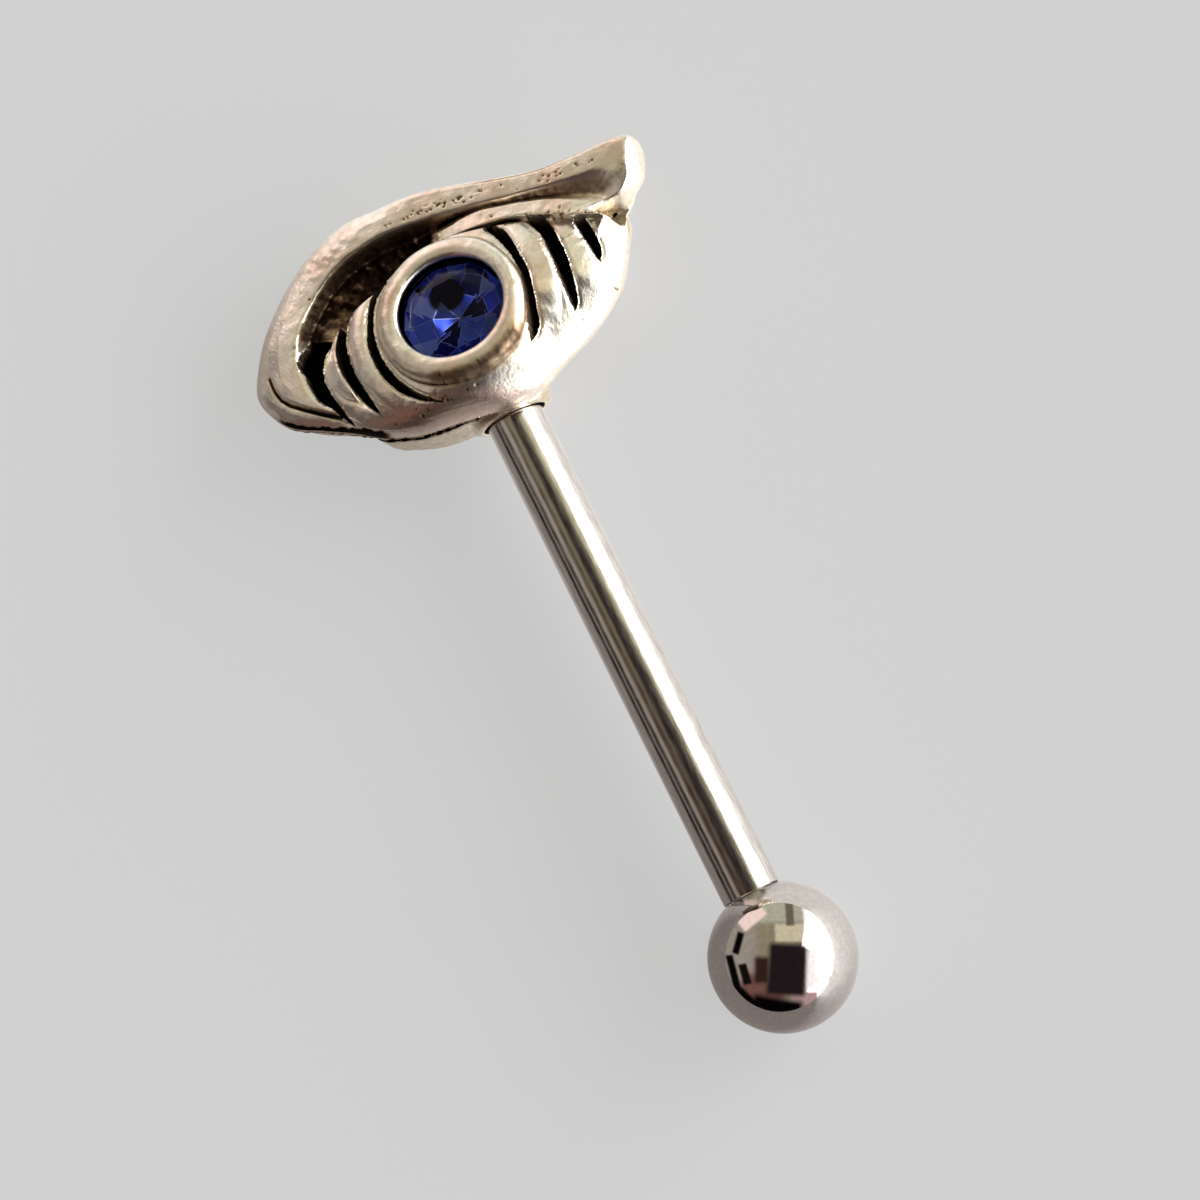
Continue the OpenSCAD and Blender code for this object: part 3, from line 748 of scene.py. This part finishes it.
def buildSide(angle, rimR, rimW):
    # radius, height and patina of the outer side, the seam's groove and the back's edge
    plan = headPlan["back"]
    side = np.linspace(0, 1, plan["sideRows"] + 1)[1:]
    along = np.radians(angle) * 3.0
    ragged = unevenness(along, 0 * angle, 0.1, 21) + 0.6 * unevenness(along, 0 * angle, 0.035, 22)
    low, tail = over("openSeam", angle), over("underTail", angle)
    corner = over("leftCorner", angle) + 0.8 * over("rightCorner", angle)
    seam = plan["seam"] + plan["tailRise"] * tail + plan["leftRise"] * over("raisedSeam", angle)
    seam = np.minimum(seam, rimW - plan["leastSide"])
    jag = plan["jag"] * ragged * low
    sideR = rimR[:, None] + 0.015 * np.sin(np.pi * side) - 0.03 * side ** 3
    sideW = rimW[:, None] + (seam + 0.055 + 0.07 * low + jag - rimW)[:, None] * side
    underTail = plan["tailIn"] * tail + plan["cornerIn"] * corner
    grooveR = rimR[:, None] - np.array(plan["grooveIn"]) - underTail[:, None] * np.array([0.4, 1, 1, 1])
    grooveW = (seam + jag)[:, None] + np.array(plan["grooveHeight"]) * (1 + 2.2 * low[:, None])
    backR = (rimR + plan["proud"] * over("proudBack", angle) - plan["backIn"] - underTail)[:, None]
    backW = (seam - 0.05 - 0.03 * low + 0.25 * jag)[:, None]
    foot = smoothStep(side[None, :-1] + 0.12 * ragged[:, None], 0.35, 0.62)
    onSide = silverPlan["openSeam"] * low[:, None] + 0.9 * foot * over("blackened", angle)[:, None]
    patinaAndShade = np.hstack([onSide, np.tile(silverPlan["seam"], (len(angle), 1))])
    return np.hstack([sideR, grooveR, backR]), np.hstack([sideW, grooveW, backW]), patinaAndShade


def buildBack(angle, top):
    # the plain back, from the seam down to the surface it lies on, drawn in as it goes
    plan = headPlan["back"]
    centreY = headPlan["centre"][1]
    inward = np.array([0, centreY]) - top[:, :2]
    inward /= np.linalg.norm(inward, axis=1, keepdims=True)
    lean = np.where(angle < 180, 1 - smoothStep(angle, 40, 100), smoothStep(angle, 255, 295))[:, None]
    rows = []
    for share in plan["shares"]:
        drawn = plan["baseIn"] * (1 - math.sqrt(max(0, 1 - max(0, 1 - share / plan["roundFrom"]) ** 2)))
        leant = lean * np.interp(1 - share, *zip(*plan["leanIn"]))
        rows.append(np.column_stack([top[:, :2] + inward * (drawn + leant), top[:, 2] * share]))
    foot = rows[-1][:, :2]
    for share in plan["flatShares"]:
        flat = blendTo(foot, np.array([0, centreY + plan["middle"]]), share)
        rows.append(np.column_stack([flat, np.zeros(len(angle))]))
    return np.stack(rows, 1)


def buildHead():
    angle = spokeAngles()
    turn = np.radians(angle)[:, None]
    r, w, patinaAndShade = buildFront(angle)
    lowR, lowW, lowPatina = buildSide(angle, reading(girth, 1, angle), w[:, -1])
    r, w = np.hstack([r, lowR]), np.hstack([w, lowW])
    skin = toRow(r * np.cos(turn), r * np.sin(turn), w)
    back = buildBack(angle, skin[:, -1])
    backPatina = np.full(back.shape[:2], silverPlan["onBack"])
    points = np.concatenate([skin, back], 1)
    patinaAndShade = np.hstack([patinaAndShade, lowPatina, backPatina])

    spokes, rows = points.shape[:2]
    index = np.arange(spokes * rows).reshape(spokes, rows)
    after = np.roll(index, -1, 0)
    quads = np.stack([index[:, :-1], index[:, 1:], after[:, 1:], after[:, :-1]], -1).reshape(-1, 4)
    first, last = spokes * rows, spokes * rows + 1
    fans = [(first, int(a), int(b)) for a, b in zip(index[:, 0], after[:, 0])]
    fans += [(last, int(b), int(a)) for a, b in zip(index[:, -1], after[:, -1])]
    bottom = [0, headPlan["centre"][1] + headPlan["back"]["middle"], 0]
    ends = np.vstack([toRow(0, 0, ringProfile[0][1])[None, :], [bottom]])
    head = meshObject("eyeCasting", np.vstack([points.reshape(-1, 3), ends]) * mm, quads.tolist() + fans)
    setPatinaAndShade(head, np.append(patinaAndShade.reshape(-1), [1, 0]))
    return head


def lathe(name, profile, steps):
    # turned solid round the bar's axis, from points of y and radius that start and end on the axis
    turns = np.linspace(0, 2 * np.pi, steps, endpoint=False)
    body = np.array(profile[1:-1], float)
    rings = np.stack([np.stack([r * np.sin(turns), 0 * turns + y, axisZ + r * np.cos(turns)], -1)
                      for y, r in body])
    points = np.vstack([rings.reshape(-1, 3), [[0, profile[0][0], axisZ], [0, profile[-1][0], axisZ]]])
    count = len(body)
    index = np.arange(count * steps).reshape(count, steps)
    after = np.roll(index, -1, 1)
    quads = np.stack([index[:-1], after[:-1], after[1:], index[1:]], -1).reshape(-1, 4).tolist()
    fans = [(count * steps, int(b), int(a)) for a, b in zip(index[0], after[0])]
    fans += [(count * steps + 1, int(a), int(b)) for a, b in zip(index[-1], after[-1])]
    thing = meshObject(name, points * mm, quads + fans)
    signed = sum(p.center.dot(p.normal) * p.area for p in thing.data.polygons)
    if signed < 0:
        thing.data.flip_normals()
    return thing


# The collar where the bar goes into the head, joined to the casting and bored for the bar
collarPlan = {
    "mouth": 4.05,  # mm, y of the collar's face
    "depth": 0.95,
    "outer": 0.87,
    "flare": 1.12,
    "bore": 0.67,
    "boreDepth": 0.5,
    "lip": 0.12,
}


def joinCollar(head):
    plan = collarPlan
    mouth, outer, bore, lip = plan["mouth"], plan["outer"], plan["bore"], plan["lip"]
    inside = mouth + plan["depth"]
    collar = lathe("collar", [(inside, 0), (inside, plan["flare"]), (mouth + 0.35, outer + 0.08),
                              (mouth + lip, outer), (mouth + 0.3 * lip, outer - 0.3 * lip),
                              (mouth, outer - lip), (mouth, 0)], 96)
    bored = mouth + plan["boreDepth"]
    cutter = lathe("cutter", [(bored, 0), (bored, bore), (mouth + 0.03, bore), (mouth - 0.01, bore + 0.03),
                              (mouth - 0.6, bore + 0.03), (mouth - 0.6, 0)], 96)
    for tool, value in ((collar, 0.2), (cutter, 1.0)):
        setPatinaAndShade(tool, np.full(len(tool.data.vertices), value))
    for tool, operation in ((collar, "UNION"), (cutter, "DIFFERENCE")):
        step = head.modifiers.new(tool.name, "BOOLEAN")
        step.operation, step.object, step.solver = operation, tool, "MANIFOLD"
    finished(head)
    for tool in (collar, cutter):
        bpy.data.objects.remove(tool)


def castSilver():
    # sterling silver, lost-wax cast, oxidised black and polished back: warm bright high places
    # with a soft sheen, brown to black in what the polishing wheel can't reach, and painted shade
    # and shadow in the same dark: under the fold, in the flute and below the ring
    plan = silverPlan
    material, tree, shader, place = startMaterial("castOxidisedSilver", {"Metallic": 1.0})
    patinaAndShade = addNode(tree, "ShaderNodeAttribute", attribute_name="patinaAndShade").outputs["Fac"]
    grain, share, start = plan["mottling"]
    mottling = grainNoise(tree, place, grain, 4.0)
    shift = addNode(tree, "ShaderNodeMath", {0: mottling, 1: share, 2: start}, operation="MULTIPLY_ADD")
    worn = addNode(tree, "ShaderNodeMath", {0: patinaAndShade, 1: shift}, operation="ADD", use_clamp=True)
    clean = addNode(tree, "ShaderNodeValToRGB", {"Fac": worn})
    setStops(clean, plan["shades"])
    rosy, grain, start, full, most = plan["rosy"]
    tinge = grainNoise(tree, place, grain, 2.0)
    tinted = addNode(tree, "ShaderNodeMix", {"B": linear(rosy), "A": clean},
                     data_type="RGBA", blend_type="MULTIPLY")
    share = addNode(tree, "ShaderNodeMapRange", {
        "From Min": start, "From Max": full, "To Max": most, "Value": tinge})
    setInput(tinted.inputs["Factor"], share)
    setInput(shader.inputs["Base Color"], tinted)
    setRoughness(tree, shader, worn, *plan["roughness"])
    grain, strength, depth = plan["grain"]
    fine = grainNoise(tree, place, grain, 4.0)
    relief = addNode(tree, "ShaderNodeBump", {"Strength": strength, "Distance": depth * mm, "Height": fine})
    setInput(shader.inputs["Normal"], relief)
    return material


head = buildHead()
print("head modelled:", len(head.data.polygons), "faces")
joinCollar(head)
head.data.set_sharp_from_angle(angle=math.radians(55))
head.data.materials.clear()
head.data.materials.append(castSilver())
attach(head, headBody)
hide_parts("eye_head")
print("head finished:", len(head.data.polygons), "faces")

# The stone, a round brilliant of glass with a foiled back
stonePlan = {
    "sizes": {
        "Facets": 8,
        "Girdle Radius": 1.15,
        "Table Radius": 0.62,
        "Crown Radius": 0.908,
        "Dark Radius": 1.03,  # the foil outside it is painted near black, a painted shadow round the girdle
        "Half Radius": 0.84,
        "Pavilion Radius": 0.52,
        "Facet Share": 0.95,  # the rest is the painted highlight line along each facet's edges
    },
    "seed": 4,
    "darkMiddle": (-0.03, 0.54, -0.76),  # x, y and height of the painted dark reflection's middle, mm
    "darkReach": 0.42,
    "paintedDarkReflection": "#04040E",
    "lines": (0.92, 0.1),  # how light the painted highlight lines between facets are, and in the painted dark rim
    "haze": (0.4, 0.03),  # its grain in mm, and the roughness at most
    # painted reflections on the foil: the brightness each facet is given, from near black to near white
    "foil": [(0.0, "#03030F"), (0.26, "#0E1464"), (0.40, "#3C54D8"), (0.66, "#8CA8FF"), (0.92, "#F0F4FF")],
    "heights": {"table": 0.02, "crown": -0.07, "girdleTop": -0.22, "girdleLow": -0.28, "dark": -0.405,
                "half": -0.585, "pavilion": -0.82, "culet": -1.05},
}


def startTree(name, numbers, whole=()):
    tree = bpy.data.node_groups.new(name, "GeometryNodeTree")
    tree.interface.new_socket("Geometry", in_out="OUTPUT", socket_type="NodeSocketGeometry")
    for key in numbers:
        kind = "NodeSocketInt" if key in whole else "NodeSocketFloat"
        tree.interface.new_socket(key, in_out="INPUT", socket_type=kind)
    return tree, addNode(tree, "NodeGroupInput").outputs, addNode(tree, "NodeGroupOutput").inputs


def fromTree(name, tree, values):
    thing = bpy.data.objects.new(name, bpy.data.meshes.new(name))
    scene.collection.objects.link(thing)
    step = thing.modifiers.new(name, "NODES")
    step.node_group = tree
    for socket in tree.interface.items_tree:
        if socket.in_out == "INPUT" and socket.name in values:
            step[socket.identifier] = values[socket.name]
    return finished(thing)


def stoneTree(crownMaterial, foilMaterial):
    heights = stonePlan["heights"]
    tree, given, out = startTree("roundBrilliant", stonePlan["sizes"], whole=("Facets",))
    facets = given["Facets"]
    halfTurn = addNode(tree, "ShaderNodeMath", {0: math.pi, 1: facets}, operation="DIVIDE")
    quarterTurn = addNode(tree, "ShaderNodeMath", {0: halfTurn, 1: 0.5}, operation="MULTIPLY")
    doubled = addNode(tree, "ShaderNodeMath", {0: facets, 1: 2}, operation="MULTIPLY")
    rings = [("Table Radius", "table", facets, halfTurn), ("Crown Radius", "crown", facets, None),
             ("Girdle Radius", "girdleTop", doubled, quarterTurn),
             ("Girdle Radius", "girdleLow", doubled, quarterTurn),
             ("Dark Radius", "dark", doubled, quarterTurn), ("Half Radius", "half", doubled, quarterTurn),
             ("Pavilion Radius", "pavilion", facets, halfTurn)]
    joined = addNode(tree, "GeometryNodeJoinGeometry")
    for radius, height, count, turn in rings:
        circle = addNode(tree, "GeometryNodeMeshCircle", {"Vertices": count, "Radius": given[radius]})
        moved = addNode(tree, "GeometryNodeTransform", {
            "Translation": (0, 0, heights[height]), "Geometry": circle})
        if turn is not None:
            setInput(moved.inputs["Rotation"], addNode(tree, "ShaderNodeCombineXYZ", {"Z": turn}))
        setInput(joined.inputs[0], moved)
    culet = addNode(tree, "GeometryNodeMeshLine", {"Count": 1, "Start Location": (0, 0, heights["culet"])})
    setInput(joined.inputs[0], culet)
    hull = addNode(tree, "GeometryNodeConvexHull", {0: joined})
    flat = addNode(tree, "GeometryNodeSetShadeSmooth", {"Shade Smooth": False, "Geometry": hull})
    place = addNode(tree, "ShaderNodeSeparateXYZ", {0: addNode(tree, "GeometryNodeInputPosition")})
    below = addNode(tree, "FunctionNodeCompare", {"B": heights["girdleLow"] - 0.005, "A": place.outputs["Z"]},
                    data_type="FLOAT", operation="LESS_THAN")
    split = addNode(tree, "GeometryNodeExtrudeMesh", {"Offset Scale": 0.0, "Mesh": flat, "Selection": below},
                    mode="FACES")
    inset = addNode(tree, "GeometryNodeScaleElements", {
        "Geometry": split, "Selection": split.outputs["Top"], "Scale": given["Facet Share"]})
    drawn = addNode(tree, "FunctionNodeRandomValue", {"Seed": stonePlan["seed"]})
    # near the girdle the foil is painted black, a painted shadow; elsewhere each facet gets a random painted
    # brightness, framed by painted highlight lines
    rimmed = addNode(tree, "FunctionNodeCompare", {"B": heights["dark"], "A": place.outputs["Z"]},
                     data_type="FLOAT", operation="GREATER_THAN")
    facet = addNode(tree, "GeometryNodeSwitch", {"Switch": rimmed, "False": drawn, "True": 0.0},
                    input_type="FLOAT")
    light, dim = stonePlan["lines"]
    line = addNode(tree, "GeometryNodeSwitch", {"Switch": rimmed, "False": light, "True": dim},
                   input_type="FLOAT")
    onTop = split.outputs["Top"]
    shade = addNode(tree, "GeometryNodeSwitch", {"Switch": onTop, "False": line, "True": facet},
                    input_type="FLOAT")
    kept = addNode(tree, "GeometryNodeStoreNamedAttribute", {
        "Name": "shade", "Geometry": inset, "Value": shade}, data_type="FLOAT", domain="FACE")
    real = addNode(tree, "GeometryNodeRealizeInstances", {0: kept})
    crown = addNode(tree, "GeometryNodeSetMaterial", {"Material": crownMaterial, "Geometry": real})
    foil = addNode(tree, "GeometryNodeSetMaterial", {
        "Material": foilMaterial, "Geometry": crown, "Selection": below})
    setInput(out[0], foil)
    return tree


def blueGlass():
    # lead glass, cut and polished: clear deep blue with sharp bright reflections off each facet
    material, tree, shader, place = startMaterial("royalBlueLeadGlass", {
        "Base Color": linear("#A4B4FA"), "Roughness": 0.01, "IOR": 1.62, "Transmission Weight": 1.0,
        "Specular Tint": linear("#5A5A78")})
    grain, most = stonePlan["haze"]
    setRoughness(tree, shader, grainNoise(tree, place, grain), 0.0, most)
    return material


def blueFoil():
    # silvered foil under blue glass, with painted reflections: each facet is painted its own brightness, from
    # near black to a clear cornflower blue, with painted highlight lines where facets meet, a painted dark
    # reflection in the middle and a painted shadow round the girdle
    material, tree, shader, place = startMaterial("blueFoilBack", {"Metallic": 0.65, "Roughness": 0.18})
    shade = addNode(tree, "ShaderNodeAttribute", attribute_name="shade").outputs["Fac"]
    middle = addNode(tree, "ShaderNodeVectorMath", {0: place, 1: toRow(*stonePlan["darkMiddle"]) * mm},
                     operation="DISTANCE")
    reach = stonePlan["darkReach"] * mm
    clear = addNode(tree, "ShaderNodeMapRange", {"From Min": 0.8 * reach, "From Max": reach, "Value": middle})
    tone = addNode(tree, "ShaderNodeValToRGB", {"Fac": shade})
    setStops(tone, stonePlan["foil"])
    dark = linear(stonePlan["paintedDarkReflection"])
    dimmed = addNode(tree, "ShaderNodeMix", {"A": dark, "B": tone, "Factor": clear}, data_type="RGBA")
    setInput(shader.inputs["Base Color"], dimmed)
    return material


def buildStone():
    stone = fromTree("blueStone", stoneTree(blueGlass(), blueFoil()), stonePlan["sizes"])
    tilt = Matrix(((1, 0, 0), (0, dipCos, dipSin), (0, -dipSin, dipCos))).to_4x4()
    stone.data.transform(Matrix.Scale(mm, 4) @ Matrix.Translation(headPlan["centre"]) @ tilt)
    return stone


stone = buildStone()
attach(stone, headBody)
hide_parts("stone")
print("stone cut:", len(stone.data.polygons), "facets")

# The bar and the ball, turned from steel
barPlan = {
    "headEnd": barHigh.y / mm,
    "step": 4.15,  # y where the full diameter starts, in the collar's mouth
    "shoulder": -6.70,  # y where the bar meets the ball
    "studEnd": barLow.y / mm,
    "tenon": 0.44,
    "root": 0.40,
    "bevel": 0.03,
}
threadPlan = {"Pitch": 0.25, "Radius": 0.405, "Length": 1.8, "Height": 0.035}
ballPlan = {
    "radius": 1.5,
    "centre": -8.0748,
    "bore": 0.47,
    "boreEnd": -8.80,
    "recess": 0.65,
    "recessFloor": -6.80,
    "bands": 120,
}


def steelSurface(name, grainMm, stretch, depthMm, colour, roughness):
    material, tree, shader, place = startMaterial(name, {"Metallic": 1.0})
    lines = grainNoise(tree, place, grainMm, 3.0, stretch)
    tone = addNode(tree, "ShaderNodeValToRGB", {"Fac": lines})
    setStops(tone, [(0.3, colour[0]), (0.7, colour[1])])
    setInput(shader.inputs["Base Color"], tone)
    setRoughness(tree, shader, lines, *roughness)
    relief = addNode(tree, "ShaderNodeBump", {"Strength": 0.3, "Distance": depthMm * mm, "Height": lines})
    setInput(shader.inputs["Normal"], relief)
    return material


def threadTree(material):
    tree, given, out = startTree("studThread", threadPlan)
    turns = addNode(tree, "ShaderNodeMath", {0: given["Length"], 1: given["Pitch"]}, operation="DIVIDE")
    spiral = addNode(tree, "GeometryNodeCurveSpiral", {
        "Resolution": 48, "Rotations": turns, "Start Radius": given["Radius"], "End Radius": given["Radius"],
        "Height": given["Length"]})
    ridge = addNode(tree, "GeometryNodeCurvePrimitiveCircle", {"Resolution": 4, "Radius": given["Height"]})
    tube = addNode(tree, "GeometryNodeCurveToMesh", {
        "Fill Caps": True, "Curve": spiral, "Profile Curve": ridge})
    real = addNode(tree, "GeometryNodeRealizeInstances", {0: tube})
    dressed = addNode(tree, "GeometryNodeSetMaterial", {"Material": material, "Geometry": real})
    setInput(out[0], dressed)
    return tree


def buildBar():
    plan = barPlan
    bevel, full = plan["bevel"], barRadius
    head, step, shoulder, tip = plan["headEnd"], plan["step"], plan["shoulder"], plan["studEnd"]
    middle = [(y, full) for y in np.linspace(step - bevel, shoulder + bevel, 40)]
    profile = [(head, 0), (head, plan["tenon"] - bevel), (head - bevel, plan["tenon"]), (step, plan["tenon"]),
               (step, full - bevel), *middle, (shoulder, full - bevel), (shoulder, plan["root"] + 0.01),
               (shoulder - 0.02, plan["root"]), (tip + 2 * bevel, plan["root"]),
               (tip, plan["root"] - 2 * bevel), (tip, 0)]
    bar = lathe("steelBar", profile, 128)
    # surgical steel, drawn and brushed: a bright grey sheen in fine soft lines along the bar
    steel = steelSurface("drawnSurgicalSteel", grainMm=0.05, stretch=(1, 0.12, 1), depthMm=0.003,
                         colour=("#B9B5B0", "#D9D6D0"), roughness=(0.12, 0.26))
    bar.data.materials.append(steel)
    thread = fromTree("thread", threadTree(steel), threadPlan)
    turned = Matrix.Rotation(math.radians(90), 4, "X")
    thread.data.transform(Matrix.Scale(mm, 4) @ Matrix.Translation((0, shoulder - 0.08, axisZ)) @ turned)
    bpy.ops.object.select_all(action="DESELECT")
    thread.select_set(True)
    bar.select_set(True)
    bpy.context.view_layer.objects.active = bar
    bpy.ops.object.join()
    return bar


def buildBall():
    plan = ballPlan
    centre, radius, bore, recess = plan["centre"], plan["radius"], plan["bore"], plan["recess"]
    start = math.asin((recess + 0.012) / radius)
    end, floor = plan["boreEnd"], plan["recessFloor"]
    turns = np.linspace(start, math.pi, plan["bands"])
    arc = [(centre + radius * math.cos(t), radius * math.sin(t)) for t in turns]
    profile = [(end, 0), (end, bore), (floor - 0.03, bore), (floor, bore + 0.03), (floor, recess - 0.01),
               (floor + 0.01, recess), (arc[0][0] - 0.012, recess), *arc[:-1], (arc[-1][0], 0)]
    return lathe("steelBall", profile, 192)


bar = buildBar()
bar.data.set_sharp_from_angle(angle=math.radians(40))
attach(bar, headBody)
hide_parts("bar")
ball = buildBall()
ball.data.set_sharp_from_angle(angle=math.radians(40))
# surgical steel, turned and polished: a mirror that shows the whole room, with hardly any haze
mirror = steelSurface("mirrorPolishedSteel", grainMm=0.09, stretch=(1, 1, 1), depthMm=0.0006,
                      colour=("#BDB8B5", "#CCC8C4"), roughness=(0.03, 0.07))
ball.data.materials.append(mirror)
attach(ball, ballBody)
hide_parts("ball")
print("bar and ball turned")

# Studio: a pale floor in a room that is charted as a mirror ball shows it from the camera's place.
# Columns of a panel: name, middle (across, up), half size, turn in degrees, soft edge, colour, strength.
roomPlan = {
    "ceiling": ("#8F8872", 1.0),
    "panels": [
        ("leftWall", (-0.60, 0.05), (0.16, 0.50), 0, 0.12, "#9C948C", 1.0),
        ("farWall", (0.02, 0.66), (0.42, 0.12), 0, 0.10, "#B4B3A2", 1.0),
        ("warmPanel", (0.07, 0.36), (0.17, 0.09), 0, 0.05, "#D0C8AC", 1.0),
        ("greyPost", (0.08, 0.62), (0.035, 0.15), 0, 0.04, "#6E675C", 1.0),
        ("pinkPanel", (-0.43, 0.55), (0.17, 0.065), 40, 0.05, "#FBE4DC", 1.0),
        ("windowFrame", (0.55, 0.00), (0.26, 0.72), 0, 0.05, "#DAD4D4", 1.7),
        ("windowTop", (0.53, 0.34), (0.25, 0.22), -12, 0.03, "#FFFEFA", 4.5),
        ("windowMiddle", (0.66, -0.07), (0.24, 0.13), 0, 0.03, "#FFFEFA", 4.5),
        ("windowLow", (0.54, -0.50), (0.13, 0.22), 38, 0.03, "#FFFEFA", 4.5),
        ("rosyShade", (0.26, -0.58), (0.14, 0.14), 0, 0.08, "#B89A9A", 1.0),
        ("brownShade", (-0.32, -0.48), (0.22, 0.14), -30, 0.14, "#72524A", 1.0),
        ("blackShade", (-0.09, -0.66), (0.26, 0.11), -8, 0.12, "#050304", 1.0),
        ("darkCorner", (-0.45, -0.54), (0.15, 0.035), -42, 0.06, "#080505", 1.0),
        ("upperShade", (-0.61, 0.20), (0.026, 0.13), -14, 0.04, "#080606", 1.0),
        ("leftShade", (-0.65, -0.22), (0.030, 0.24), 17, 0.04, "#080606", 1.0),
        ("smallFlag", (-0.51, -0.20), (0.035, 0.12), 18, 0.04, "#15100C", 1.0),
        ("brownCard", (-0.30, -0.13), (0.05, 0.13), 0, 0.09, "#35211E", 1.0),
        ("darkCard", (0.03, -0.12), (0.20, 0.29), -3, 0.10, "#221A1D", 1.0),
    ],
    "strength": 1.55,
    "seen": "#D1D1D1",  # what the camera sees past the floor
}
floorPlan = {
    "half": 0.6,  # m
    "paper": "#DCDFE6",
    "shaded": "#8A8280",  # painted shade: the paper as metal mirrors it, darker left and near
    "lit": "#E8E6E4",  # painted light: the same, lighter right and far
    "shadeRun": ((0.973, 0.232, 0), -4.0, 1.4),  # way from one to the other, and where it starts and ends, mm
    "glow": "#D3D3D3",  # painted glow of the paper, which is no lamp, that thins the shadows
    "glowShare": (0.78, 0.7),  # to the eye, and in the metal
    # the painted glow is brighter in the metal
    "mirrorGlow": 1.5,
}


def addFloor():
    # matt drawing paper with a painted glow that thins its shadows: an even pale ground with faint soft
    # shadows, and in the metal a painted tone, darker left and near, lighter right and far
    half = floorPlan["half"]
    floor = meshObject("floor", [(-half, -half, 0), (half, -half, 0), (half, half, 0), (-half, half, 0)],
                       [(0, 1, 2, 3)])
    material, tree, shader, place = startMaterial("mattDrawingPaper", {"Roughness": 0.4})
    path = addNode(tree, "ShaderNodeLightPath")
    glossy = path.outputs["Is Glossy Ray"]
    tones = {key: linear(floorPlan[key]) for key in ("paper", "shaded", "lit", "glow")}
    way, start, end = floorPlan["shadeRun"]
    along = addNode(tree, "ShaderNodeVectorMath", {0: place, 1: way}, operation="DOT_PRODUCT")
    run = addNode(tree, "ShaderNodeMapRange", {"From Min": start * mm, "From Max": end * mm, "Value": along})
    mirrored = addNode(tree, "ShaderNodeMix", {"A": tones["shaded"], "B": tones["lit"], "Factor": run},
                       data_type="RGBA")
    tone = addNode(tree, "ShaderNodeMix", {"A": tones["paper"], "B": mirrored, "Factor": glossy},
                   data_type="RGBA")
    setInput(shader.inputs["Base Color"], tone)
    glowTone = addNode(tree, "ShaderNodeMix", {"A": tones["glow"], "B": mirrored, "Factor": glossy},
                       data_type="RGBA")
    power = addNode(tree, "ShaderNodeMapRange", {
        "To Min": 1.0, "To Max": floorPlan["mirrorGlow"], "Value": glossy})
    glow = addNode(tree, "ShaderNodeEmission", {"Color": glowTone, "Strength": power})
    toEye, toMetal = floorPlan["glowShare"]
    inMetal = addNode(tree, "ShaderNodeMath", {0: glossy, 1: toMetal}, operation="MULTIPLY")
    share = addNode(tree, "ShaderNodeMath", {0: path.outputs["Is Camera Ray"], 1: toEye, 2: inMetal},
                    operation="MULTIPLY_ADD")
    both = addNode(tree, "ShaderNodeMixShader", {0: share, 1: shader, 2: glow})
    setInput(tree.nodes["Material Output"].inputs["Surface"], both)
    floor.data.materials.append(material)


def addPanel(tree, chart, colour, panel):
    name, middle, half, turn, soft, panelColour, strength = panel
    moved = addNode(tree, "ShaderNodeVectorMath", {0: chart, 1: (*middle, 0)}, operation="SUBTRACT")
    turned = addNode(tree, "ShaderNodeVectorRotate", {"Angle": math.radians(-turn), "Vector": moved},
                     rotation_type="Z_AXIS")
    folded = addNode(tree, "ShaderNodeVectorMath", {0: turned}, operation="ABSOLUTE")
    past = addNode(tree, "ShaderNodeVectorMath", {0: folded, 1: (*half, 0)}, operation="SUBTRACT")
    outside = addNode(tree, "ShaderNodeVectorMath", {0: past, 1: (0, 0, 0)}, operation="MAXIMUM")
    away = addNode(tree, "ShaderNodeVectorMath", {0: outside}, operation="LENGTH")
    share = addNode(tree, "ShaderNodeMapRange", {
        "From Max": soft, "To Min": 1.0, "To Max": 0.0, "Value": away}, interpolation_type="SMOOTHSTEP")
    bright = brightened(panelColour, strength)
    mixed = addNode(tree, "ShaderNodeMix", {"A": colour, "B": bright, "Factor": share}, data_type="RGBA")
    mixed.label = name
    return mixed


def setWorld():
    world = bpy.data.worlds.new("room")
    world.use_nodes = True
    scene.world = world
    tree = world.node_tree
    back = Vector(cameraPlan["toCamera"]).normalized()
    up = Vector(cameraPlan["up"]).normalized()
    side = up.cross(back)
    way = addNode(tree, "ShaderNodeTexCoord").outputs["Generated"]
    halfway = addNode(tree, "ShaderNodeVectorMath", {0: way, 1: back}, operation="ADD")
    facing = addNode(tree, "ShaderNodeVectorMath", {0: halfway}, operation="NORMALIZE")
    across = addNode(tree, "ShaderNodeVectorMath", {0: facing, 1: side}, operation="DOT_PRODUCT")
    upward = addNode(tree, "ShaderNodeVectorMath", {0: facing, 1: up}, operation="DOT_PRODUCT")
    chart = addNode(tree, "ShaderNodeCombineXYZ", {"X": across, "Y": upward})
    ceiling, strength = roomPlan["ceiling"]
    colour = addNode(tree, "ShaderNodeRGB")
    colour.outputs[0].default_value = brightened(ceiling, strength)
    for panel in roomPlan["panels"]:
        colour = addPanel(tree, chart, colour, panel)
    sky = tree.nodes["Background"]
    sky.inputs["Strength"].default_value = roomPlan["strength"]
    setInput(sky.inputs["Color"], colour)
    plain = addNode(tree, "ShaderNodeBackground", {"Color": linear(roomPlan["seen"])})
    seen = addNode(tree, "ShaderNodeLightPath").outputs["Is Camera Ray"]
    both = addNode(tree, "ShaderNodeMixShader", {0: seen, 1: sky, 2: plain})
    setInput(tree.nodes["World Output"].inputs["Surface"], both)


addFloor()
setWorld()
scene.view_settings.view_transform = "Standard"
print("studio lit")
